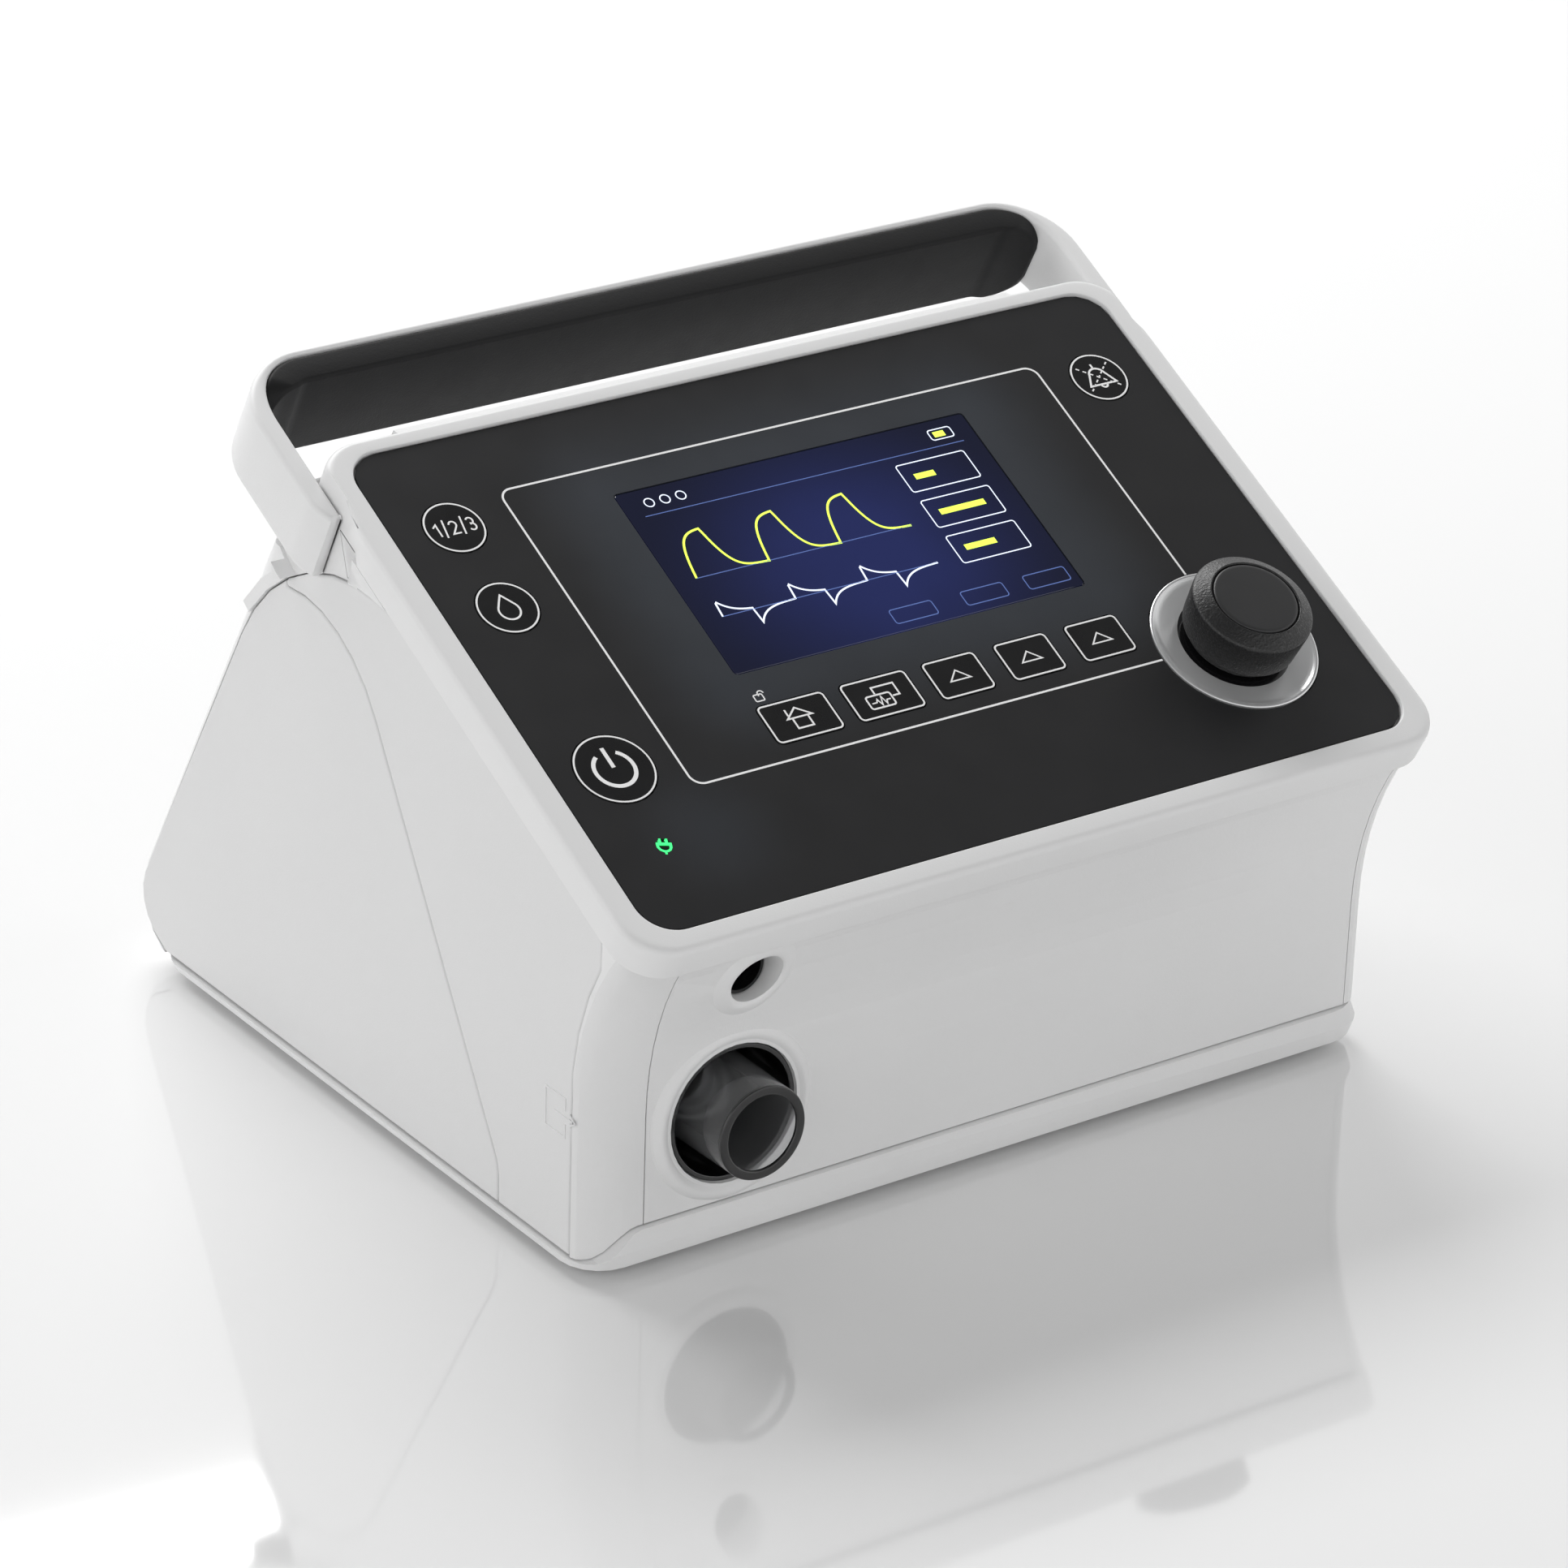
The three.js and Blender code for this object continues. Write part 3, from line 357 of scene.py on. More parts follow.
def eased_profile(corners, radii, steps=5):
    """A closed profile with each corner replaced by an arc-like curve: points run from the near
    edge to the far edge as a quadratic blend of both and the corner."""
    corners = np.asarray(corners, float)
    before, after = np.roll(corners, 1, 0), np.roll(corners, -1, 0)
    points = []
    for corner, a, b, radius in zip(corners, before, after, radii):
        if radius == 0:
            points.append(corner[None])
            continue
        start = corner + (a - corner) / np.linalg.norm(a - corner) * radius
        end = corner + (b - corner) / np.linalg.norm(b - corner) * radius
        t = np.linspace(0, 1, steps + 1)[:, None]
        points.append((1 - t) ** 2 * start + 2 * t * (1 - t) * corner + t ** 2 * end)
    return np.vstack(points)


# ---------------------------------------------------------------- shaders


class Signal:
    """A node's output in an expression: each operator adds the Math node that it names."""

    def __init__(self, shader, output):
        self.shader, self.output = shader, output

    def maths(self, operation, *values):
        return self.shader.node("ShaderNodeMath", {"operation": operation}, *values)

    def __add__(self, other):
        return self.maths("ADD", self, other)

    def __radd__(self, other):
        return self.maths("ADD", other, self)

    def __sub__(self, other):
        return self.maths("SUBTRACT", self, other)

    def __rsub__(self, other):
        return self.maths("SUBTRACT", other, self)

    def __mul__(self, other):
        return self.maths("MULTIPLY", self, other)

    def __rmul__(self, other):
        return self.maths("MULTIPLY", other, self)

    def __truediv__(self, other):
        return self.maths("DIVIDE", self, other)

    def __pow__(self, other):
        return self.maths("POWER", self, other)

    def __abs__(self):
        return self.maths("ABSOLUTE", self)

    def above(self, other):
        return self.maths("MAXIMUM", self, other)

    def below(self, other):
        return self.maths("MINIMUM", self, other)

    def ease(self, low, high):
        """0 below low, 1 above high and a smooth step between."""
        return self.shader.node(
            "ShaderNodeMapRange", {"interpolation_type": "SMOOTHSTEP"}, self, low, high, 0.0, 1.0)


class Shader:
    """One finish: a Principled surface and the nodes that vary it."""

    def __init__(self, name, colour, roughness, **plain):
        self.material = bpy.data.materials.new(name)
        self.material.use_nodes = True
        self.material.diffuse_color = colour
        self.tree = self.material.node_tree
        self.surface = self.tree.nodes["Principled BSDF"]
        self.feed(self.surface.inputs["Base Color"], colour)
        self.feed(self.surface.inputs["Roughness"], roughness)
        for socket, value in plain.items():
            self.feed(self.surface.inputs[socket.replace("_", " ")], value)

    def feed(self, socket, value):
        if isinstance(value, Signal):
            self.tree.links.new(value.output, socket)
        elif value is not None:
            socket.default_value = value

    def node(self, kind, settings=None, *values, output=0, **named):
        """Any node: its settings first, then the values or links of its inputs, in order or by name."""
        node = self.tree.nodes.new(kind)
        for setting, value in (settings or {}).items():
            setattr(node, setting, value)
        for socket, value in zip(node.inputs, values):
            self.feed(socket, value)
        for socket, value in named.items():
            self.feed(node.inputs[socket.replace("_", " ")], value)
        return Signal(self, node.outputs[output])

    def place(self):
        return self.node("ShaderNodeTexCoord", output=3)

    def parts(self, vector):
        """The x, y and z of a vector as three signals."""
        split = self.node("ShaderNodeSeparateXYZ", None, vector)
        return [Signal(self, socket) for socket in split.output.node.outputs]

    def on_slope(self):
        """x and the way up the panel's slope, in metres, as two signals."""
        x, y, z = self.parts(self.place())
        return x, y * float(UPWARD[1]) + z * float(UPWARD[2]) - float(ORIGIN @ UPWARD) * MM

    def noise(self, scale, detail=2.0, vector=None):
        return self.node(
            "ShaderNodeTexNoise", None, Vector=vector or self.place(), Scale=scale, Detail=detail)

    def blend(self, factor, first, second):
        node = self.tree.nodes.new("ShaderNodeMix")
        node.data_type = "RGBA"
        for number, value in ((0, factor), (6, first), (7, second)):
            self.feed(node.inputs[number], value)
        return Signal(self, node.outputs[2])

    def colour(self, value):
        self.feed(self.surface.inputs["Base Color"], value)
        return self

    def rough(self, value):
        self.feed(self.surface.inputs["Roughness"], value)
        return self

    def bump(self, height, distance, strength=1.0):
        normal = self.node("ShaderNodeBump", None, Strength=strength, Distance=distance, Height=height)
        self.feed(self.surface.inputs["Normal"], normal)
        return self

    def shine(self, colour, strength):
        self.feed(self.surface.inputs["Emission Color"], colour)
        self.feed(self.surface.inputs["Emission Strength"], strength)
        return self


def reach(across, along):
    """Distance from two signals square to each other."""
    return (across * across + along * along) ** 0.5


def shade(colour, factor):
    """A colour made darker or lighter by a factor."""
    return (*(min(1.0, channel * factor) for channel in colour[:3]), 1.0)


def moulding(name, colour, roughness, grain=2600, depth=0.00003, variation=0.03, **plain):
    """Moulded plastic: a spark-eroded grain, a slow drift of tone and patches of wear that are
    a little smoother."""
    shader = Shader(name, colour, roughness, **plain)
    drift = shader.noise(22, 3)
    shader.colour(shader.blend(drift, shade(colour, 1 - variation), shade(colour, 1 + variation)))
    shader.rough(shader.noise(140, 3) * 0.1 + (roughness - 0.05))
    shader.bump(shader.noise(grain, 2) + shader.noise(grain * 0.4, 1) * 0.5, depth)
    return shader.material


def foil_finish():
    """Printed polyester: satin charcoal with a fine grain. Its colour is painted paler and bluish round the
    screen and in a patch beside the mains lamp: a painted highlight for reflected studio light."""
    tones = colours()
    shader = Shader("charcoal_foil", tones.foil, 0.36, Specular_IOR_Level=0.42)
    x, s = shader.on_slope()
    low, high = panel_span("display_window")
    middle, half = (low + high) / 2 * MM, (high - low) / 2 * MM
    across = (abs(x - float(middle[0])) - float(half[0])).above(0.0)
    along = (abs(s - float(middle[1])) - float(half[1])).above(0.0)
    # Painted highlight round the screen: full at the screen's edge, gone 26 mm out.
    painted_halo = 1 - reach(across, along).ease(0.0, 0.026)
    lamp = sum(panel_span("mains_lamp")) / 2 * MM
    # Painted highlight in a patch 12 mm to the right of the mains lamp.
    lamp_highlight_offset = 0.012
    lamp_highlight = 1 - reach(x - float(lamp[0]) - lamp_highlight_offset, s - float(lamp[1])).ease(0.0, 0.022)
    # Both painted highlights, made uneven by noise, are mixed into the foil's base colour.
    painted_highlight = (painted_halo * 0.75 + lamp_highlight * 0.45) * (0.55 + shader.noise(26, 2) * 0.75)
    shader.colour(shader.blend(painted_highlight.below(1.0), tones.foil, tones.painted_highlight))
    shader.rough(0.33 + shader.noise(90, 2) * 0.08)
    shader.bump(shader.noise(3800, 1), 0.000012)
    return shader.material


def screen_finish():
    """A lit screen under gloss: navy, brightest a little below its middle, dark at the edges."""
    tones = colours()
    shader = Shader("lit_screen", (0.004, 0.005, 0.012, 1), 0.12, Coat_Weight=0.6, Coat_Roughness=0.04)
    x, s = shader.on_slope()
    low, high = panel_span("display_window")
    middle, half = (low + high) / 2 * MM, (high - low) / 2 * MM
    below, tall = 0.006, 1.5
    across = (x - float(middle[0])) / float(half[0])
    along = (s - float(middle[1] - below)) / float(half[1] * tall)
    light = 1 - reach(across, along).ease(0.15, 1.15)
    share = (light * (0.7 + shader.noise(38, 3) * 0.6)).below(1.0)
    shader.shine(shader.blend(share, shade(tones.screen, 0.22), shade(tones.screen, 1.25)), 1.0)
    return shader.material


def lit(name, colour, strength):
    """A line or lamp that shines, a little brighter in places."""
    shader = Shader(name, shade(colour, 0.4), 0.4)
    shader.shine(shader.blend(shader.noise(700, 1), shade(colour, 0.85), shade(colour, 1.1)), strength)
    return shader.material


def ink_finish():
    """White screen print with the faint tooth of the foil under it, and a faint painted glow of its own
    colour.
    """
    ink = colours().ink
    shader = Shader("white_ink", ink, 0.5)
    shader.colour(shader.blend(shader.noise(900, 2), shade(ink, 0.93), ink))
    shader.bump(shader.noise(3000, 1), 0.00001)
    # Painted light: the ink shines faintly though it is no lamp, so the print reads brighter.
    shader.shine(ink, 0.12)
    return shader.material


def sparkle_finish():
    """The knob's eroded texture: coarse bright grain on black."""
    shader = Shader("eroded_black", colours().grip, 0.4, Specular_IOR_Level=0.6)
    grain = shader.noise(2100, 2)
    flecks = grain.ease(0.53, 0.72)
    shader.colour(shader.blend(flecks, shade(colours().grip, 0.7), (0.03, 0.03, 0.031, 1)))
    shader.rough(0.44 - flecks * 0.2)
    shader.bump(grain + shader.noise(900, 2) * 0.7, 0.00013)
    return shader.material


def ring_finish(centre):
    """Turned silver: fine circular tool marks round the dial's axis."""
    shader = Shader("turned_silver", (0.84, 0.845, 0.85, 1), 0.2, Metallic=0.6)
    x, s = shader.on_slope()
    radius = reach(x - float(centre[0]) * MM, s - float(centre[1]) * MM)
    marks = shader.node(
        "ShaderNodeTexNoise", {"noise_dimensions": "1D"}, W=radius, Scale=5200.0, Detail=2.0)
    shader.rough(0.16 + marks * 0.12)
    shader.bump(marks, 0.000012)
    return shader.material


def smoke_finish():
    """Glossy smoke-grey plastic that lets some light through."""
    shader = Shader(
        "smoke_plastic", (0.87, 0.87, 0.88, 1), 0.05, Transmission_Weight=0.95, IOR=1.4)
    haze = shader.noise(60, 3)
    shader.colour(shader.blend(haze, (0.84, 0.845, 0.855, 1), (0.9, 0.905, 0.915, 1)))
    shader.rough(0.05 + haze * 0.06)
    return shader.material


def brushed(name, colour, roughness=0.35):
    """Drawn metal with marks along one way."""
    shader = Shader(name, colour, roughness, Metallic=1.0)
    stretched = shader.node("ShaderNodeMapping", None, shader.place(), Scale=(120, 3000, 3000))
    marks = shader.noise(1.0, 3, stretched)
    shader.rough(roughness - 0.06 + marks * 0.14)
    shader.bump(marks, 0.00001)
    return shader.material


def board_finish():
    """Solder mask with faint copper runs under it."""
    mask, copper = (0.012, 0.1, 0.045, 1), (0.03, 0.2, 0.08, 1)
    shader = Shader("solder_mask", mask, 0.3, Coat_Weight=0.3)
    runs = shader.node(
        "ShaderNodeTexBrick", {"offset": 0.5}, Vector=shader.place(), Scale=190.0, output=1)
    shader.colour(shader.blend(runs, mask, copper))
    return shader.material


def fibre_finish(name, dark, light, scale):
    """Felt or foam: dark pores in a lighter web."""
    shader = Shader(name, light, 0.95)
    pores = shader.node("ShaderNodeTexVoronoi", None, Vector=shader.place(), Scale=scale)
    shader.colour(shader.blend(pores.ease(0.05, 0.6), dark, light))
    shader.bump(pores, 0.0003)
    return shader.material


FINISHES = {}


def make_finishes():
    tones = colours()
    middle = sum(panel_span("dial_ring")) / 2
    FINISHES.update(
        shell=moulding("white_shell", tones.shell, 0.42),
        surround=moulding("white_surround", tones.shell, 0.4, grain=3000, depth=0.00002, variation=0.015),
        side=moulding("pale_side", tones.side, 0.46, variation=0.02),
        foil=foil_finish(), screen=screen_finish(), ink=ink_finish(),
        trace=lit("pressure_trace", tones.trace, 1.6), pale_trace=lit("flow_trace", (0.75, 0.82, 1, 1), 1.2),
        dim_trace=lit("screen_lines", (0.1, 0.16, 0.42, 1), 0.8), lamp=lit("mains_symbol", tones.lamp, 1.5),
        knob=sparkle_finish(), ring=ring_finish(middle), smoke=smoke_finish(),
        cap=moulding("knob_cap_black", (0.03, 0.03, 0.031, 1), 0.4, grain=4200, depth=0.00001),
        key=moulding("key_black", (0.0085, 0.0085, 0.009, 1), 0.28, grain=3600, depth=0.000008),
        grip=moulding(
            "grip_black", tones.grip, 0.55, grain=2200, depth=0.00004, variation=0.2,
            Specular_IOR_Level=0.25),
        gloss=moulding(
            "gloss_black", (0.006, 0.006, 0.0065, 1), 0.1, depth=0.000002, Coat_Weight=0.5),
        steel=brushed("drawn_steel", (0.6, 0.61, 0.62, 1)),
        rubber=moulding(
            "moulded_rubber", (0.02, 0.02, 0.02, 1), 0.75, grain=1500, depth=0.00006, variation=0.25),
        board=board_finish(), duct=moulding("duct_grey", (0.55, 0.56, 0.57, 1), 0.5, grain=1200),
        felt=fibre_finish("filter_felt", (0.55, 0.54, 0.5, 1), (0.86, 0.85, 0.82, 1), 2600),
        foam=fibre_finish("filter_foam", (0.02, 0.02, 0.022, 1), (0.14, 0.14, 0.15, 1), 900),
        card=moulding("card_blue", (0.01, 0.02, 0.09, 1), 0.4),
        cells=moulding("battery_wrap", (0.02, 0.02, 0.024, 1), 0.45, variation=0.15),
    )


CORNERS = ("front_left", "front_right", "rear_left", "rear_right")
CARRIED_OVER = {
    "rubber": (*("foot_" + corner for corner in CORNERS), "outlet_seal", "blower_mount"),
    "steel": (
        *("base_screw_" + corner for corner in CORNERS), "lcd_module", "encoder_body", "encoder_shaft",
        "handle_pin_left", "handle_pin_right", "blower_motor", "card_slot"),
    "board": ("display_board", "main_board"), "cells": ("battery_pack",),
    "duct": ("outlet_duct", "blower_housing", "blower_impeller", "filter_tray"),
    "gloss": ("flow_sensor",), "grip": ("alarm_speaker",), "felt": ("fine_filter",),
    "foam": ("coarse_filter",), "card": ("sd_card",), "foil": ("front_foil",),
}


# ---------------------------------------------------------------- operators, one for each piece or group


class VENTILATOR_OT_finishes(bpy.types.Operator):
    """Makes every finish and gives it to the CAD nodes that stay"""

    bl_idname = "ventilator.finishes"
    bl_label = "Finishes"

    def execute(self, context):
        make_finishes()
        for finish_name, names in CARRIED_OVER.items():
            for name in names:
                for material_slot in NODES[name].material_slots:
                    material_slot.material = FINISHES[finish_name]
        return {"FINISHED"}


class VENTILATOR_OT_housing(bpy.types.Operator):
    """Builds the housing, its base, front cover and side panels"""

    bl_idname = "ventilator.housing"
    bl_label = "Housing"

    def execute(self, context):
        edge, rim = sizes().edge, sizes().rim_edge
        for node, name, width in (
                ("main_housing", "housing_shell", rim), ("base_shell", "base_tray", edge),
                ("front_cover", "front_panel", edge)):
            eased(node, name, "shell", "housing", width)
        for node, name in (("left_side_panel", "left_panel"), ("right_side_panel", "right_panel")):
            eased(node, name, "side", "housing", edge)
        eased("humidifier_cover", "humidifier_lid", "side", "humidifier_cover", edge)
        eased("filter_cover", "filter_lid", "side", "filter_cover", edge * 0.5, 2)
        for node, name in (("power_inlet", "mains_socket"), ("data_port", "data_socket")):
            eased(node, name, "grip", "housing", edge * 0.4, 2)
        return {"FINISHED"}


class VENTILATOR_OT_surround(bpy.types.Operator):
    """Builds the white surround of the control panel"""

    bl_idname = "ventilator.surround"
    bl_label = "Panel surround"

    corner, foil_corner, gap = 11.0, 8.3, 0.15
    depth, cheek_top, leg_room = 8.3, 8.05, 5.3

    def execute(self, context):
        low, high = panel_span("display_bezel")
        foil_low, foil_high = panel_span("front_foil")
        outer = spread(box_path(low[:2], high[:2], self.corner, 12), 4)
        inner = self.matched(outer, low[:2], high[:2], (foil_low - self.gap)[:2], (foil_high + self.gap)[:2])
        # The section, as share of the way in to the foil and height: up the outside, over the
        # crown, down to the foil's ledge and back under.
        crown, ledge = sizes().crown, -1.3
        corners = ((0, -self.depth), (0, crown), (0.93, crown), (0.955, -0.25), (1, ledge), (1.5, ledge),
                   (1.5, -self.depth))
        scale = np.array([foil_low[0] - low[0], 1.0])
        share, height = (eased_profile(np.array(corners) * scale, (0.8, 2.0, 0.35, 0, 0, 0, 0), 8) / scale).T
        ring = outer[None] + (inner - outer)[None] * share[:, None, None]
        heights = np.broadcast_to(height[:, None, None], (*ring.shape[:2], 1))
        points = self.beside_handle(np.concatenate([ring, heights], -1), high[0])
        build("panel_surround", [skin(points, loop=True)], ("surround",), "housing", ("display_bezel",), 40)
        cheeks = node_copy("display_bezel", "surround_cheeks", "surround", self.cut_level)
        finish("surround_cheeks", cheeks, "housing", ())
        return {"FINISHED"}

    def matched(self, outer, low, high, inner_low, inner_high):
        """The foil's outline, a point for each one of the outer outline: straight runs are
        squeezed in step and the corners turn about their own centres."""
        offset = outer - (low + high) / 2
        half, inner_half = (high - low) / 2 - self.corner, (inner_high - inner_low) / 2 - self.foil_corner
        past = np.maximum(np.abs(offset) - half, 0) * self.foil_corner / self.corner
        squeezed = np.clip(offset, -half, half) * (inner_half / half)
        return (inner_low + inner_high) / 2 + squeezed + np.sign(offset) * past

    def beside_handle(self, points, half):
        """Draws the outside in beside the handle's legs, behind a circle about the handle's pin:
        half width less the recess times a smooth step of the distance inside the circle."""
        leg_inside = panel_span("handle_bail")[1][0] - self.leg_room
        away = np.hypot(np.minimum(points[..., 1] - PIN @ UPWARD, 0), points[..., 2] - PIN @ OUTWARD)
        inside = np.clip((NOSE_SWING - away) / 0.5 + 0.5, 0, 1)
        limit = half - (half - leg_inside) * inside * inside * (3 - 2 * inside)
        points[..., 0] = np.clip(points[..., 0], -limit, limit)
        return points

    def cut_level(self, work):
        """Leaves what is below the swept ring, the sides down to the arches, closed on top."""
        cut = bmesh.ops.bisect_plane(
            work, geom=[*work.verts, *work.edges, *work.faces], dist=1e-7,
            plane_co=(ORIGIN - OUTWARD * self.cheek_top) * MM, plane_no=OUTWARD, clear_outer=True)
        rim = [part for part in cut["geom_cut"] if isinstance(part, bmesh.types.BMEdge)]
        bmesh.ops.holes_fill(work, edges=rim, sides=0)
        bmesh.ops.recalc_face_normals(work, faces=work.faces)


class VENTILATOR_OT_controls(bpy.types.Operator):
    """Builds the nine keys and everything printed on the foil"""

    bl_idname = "ventilator.controls"
    bl_label = "Keys and print"

    def execute(self, context):
        for name in KEYS:
            self.key(name)
        self.printed()
        self.mains_symbol()
        return {"FINISHED"}

    def key(self, name):
        """A key: rings of its outline, level by level, with a round edge and a border printed
        just inside it."""
        low, high = panel_span(name)
        middle, size = (low + high)[:2] / 2, (high - low)[:2]
        is_round = abs(size[0] - size[1]) < 0.5
        radius = size.min() / 2 if is_round else 1.4
        outline = ring_path(middle, radius, 72) if is_round else box_path(low[:2], high[:2], radius, 6)
        levels = ((0.0, low[2]), (0.0, high[2] - 0.12), (0.03, high[2] - 0.05), (0.1, high[2]))
        inward = -sideways(outline, True)
        inward *= np.sign(((middle - outline) * inward).sum(1))[:, None]
        rings = [at_height(outline + inward * inset, level) for inset, level in levels]
        under, top = high[2] - INK_ROOT, high[2] + sizes().print_height
        margin = 0.12
        border = outline + inward * (sizes().print_width / 2 + margin)
        parts = [(*skin(rings, caps=(True, True)), 0), (*line(border, under, top, True), 1)]
        for path, closed, width in self.symbol(name):
            parts.append((*line(np.asarray(path) + middle, under, top, closed, width), 1))
        build(name + "_cap", parts, ("key", "ink"), name, (name,))

    def symbol(self, name):
        """The lines of a key's symbol about its middle, as paths, closed or not, and width."""
        fine, bold = 0.42, 0.95
        if name == "power_key":
            return [
                (arc_path((0, 0), 4.7, 122, 418, 40), False, bold), (((0, 0.4), (0, 5.9)), False, bold)]
        if name == "humidifier_key":
            bowl = arc_path((0, -0.9), 2.5, 150, 390, 24)
            return [(np.vstack([bowl, [(0.5, 2.9), (0, 3.6), (-0.5, 2.9)]]), True, 0.45)]
        if name == "program_key":
            one = ((-4.6, 0.8), (-3.7, 1.45), (-3.7, -1.45))
            two = np.vstack([arc_path((-0.1, 0.65), 0.8, 165, -35, 10), [(-0.95, -1.45), (0.85, -1.45)]])
            upper = arc_path((3.9, 0.7), 0.75, 150, -90, 10)
            lower = arc_path((3.9, -0.68), 0.78, 90, -150, 10)
            slashes = (((-2.6, -2.0), (-1.8, 2.2)), ((1.6, -2.0), (2.4, 2.2)))
            stretch = (1.08, 1.2)
            return [(np.asarray(path) * stretch, False, 0.4)
                    for path in (one, two, np.vstack([upper, lower]), *slashes)]
        if name == "alarm_mute_key":
            return self.bell()
        if name == "home_key":
            walls = ((-2.0, 0.3), (-2.0, -2.6), (2.0, -2.6), (2.0, 0.3))
            return [
                (((-3.2, 0.3), (0, 2.9), (3.2, 0.3)), True, fine), (walls, False, fine),
                (((-2.6, 1.1), (-2.6, 2.9)), False, fine)]
        if name == "monitor_key":
            wave = ((-3.6, -1.4), (-2.4, -1.4), (-1.9, -0.6), (-1.3, -2.3), (-0.6, 0.0), (0.0, -2.2),
                    (0.4, -1.2), (1.4, -1.2))
            back = np.vstack([((-1.6, 0.9), (-1.6, 2.7)), ((4.2, 2.7),), ((4.2, -0.6), (2.4, -0.6))])
            return [
                (box_path((-4.4, -2.9), (2.0, 0.6), 0.6, 4), True, fine), (back, False, fine),
                (wave, False, 0.32)]
        return [(((-2.7, -1.1), (2.7, -1.1), (0, 1.6)), True, 0.34)]

    def bell(self):
        """A bell crossed out with two dashed lines."""
        dome = np.vstack([((-3.7, -2.2),), arc_path((0, 0.5), 2.2, 168, 12, 12), ((3.7, -2.2),)])
        clapper = arc_path((0, -2.3), 0.85, 180, 360, 8)
        lines = [(dome, True, 0.5), (clapper, False, 0.5), (((0, 2.7), (0, 4.1)), False, 0.5)]
        start, end = np.array(((-4.6, 3.9), (4.6, -3.9)))
        dash = np.array(((0.02,), (0.095,)))
        for flip in (1, -1):
            for step in range(7):
                lines.append(((start + (end - start) * (step / 7 + dash)) * (flip, 1), False, 0.36))
        return lines

    def printed(self):
        """The white frame line round the screen, which stops at the dial, and the open padlock."""
        face = panel_span("front_foil")[1][2]
        dial_low, dial_high = panel_span("dial_ring")
        dial, dial_radius = (dial_low + dial_high)[:2] / 2, (dial_high - dial_low)[0] / 2
        screen_low, screen_high = panel_span("display_window")
        left, upper, corner = screen_low[0] - 25.5, screen_high[1] + 8.3, 3.0
        clear = dial_radius + 0.45
        frame_line = np.vstack([
            ((dial[0], dial[1] + clear),),
            arc_path((dial[0] - corner, upper - corner), corner, 0, 90, 8),
            arc_path((left + corner, upper - corner), corner, 90, 180, 8),
            arc_path((left + corner, dial[1] + corner), corner, 180, 270, 8),
            ((dial[0] - clear, dial[1]),)])
        under, top = face - INK_ROOT, face + sizes().print_height
        parts = [line(frame_line, under, top, width=0.5)]
        home_low, home_high = panel_span("home_key")
        lock = np.array([home_low[0] + 2.6, home_high[1] + 2.4])
        shackle = np.vstack([arc_path((0.95, 0.9), 0.75, 0, 180, 8), ((0.2, 0.3),)])[::-1]
        for path, closed in ((box_path((-1.1, -1.0), (1.1, 0.8), 0.3, 3), True), (shackle, False)):
            parts.append(line(path + lock, under, top, closed, 0.3))
        build("panel_print", parts, ("ink",), "housing")

    def mains_symbol(self):
        """A lit plug: two pins, a cup and a tail, leaning back."""
        low, high = panel_span("mains_lamp")
        middle, face = (low + high)[:2] / 2, panel_span("front_foil")[1][2]
        lean = turn(-18)
        spin = np.array([lean, (-lean[1], lean[0])])
        cup = np.vstack([((-1.5, 0.5), (-1.5, -0.1)), arc_path((0, -0.1), 1.5, 180, 360, 10), ((1.5, 0.5),)])
        strokes = (
            (cup, True), (((-0.75, 0.5), (-0.75, 1.8)), False), (((0.75, 0.5), (0.75, 1.8)), False),
            (((0, -1.6), (0, -2.4)), False))
        parts = [
            line(np.asarray(path) @ spin + middle, face - 0.6, face + INK_ROOT, closed, 0.5)
            for path, closed in strokes]
        lens = turned(middle, ((0, -3.9), (1.55, -3.9), (1.55, -0.35), (0, -0.35)), sides=32)
        build("mains_symbol", [(*lens, 1), *parts], ("lamp", "key"), "housing", ("mains_lamp",))


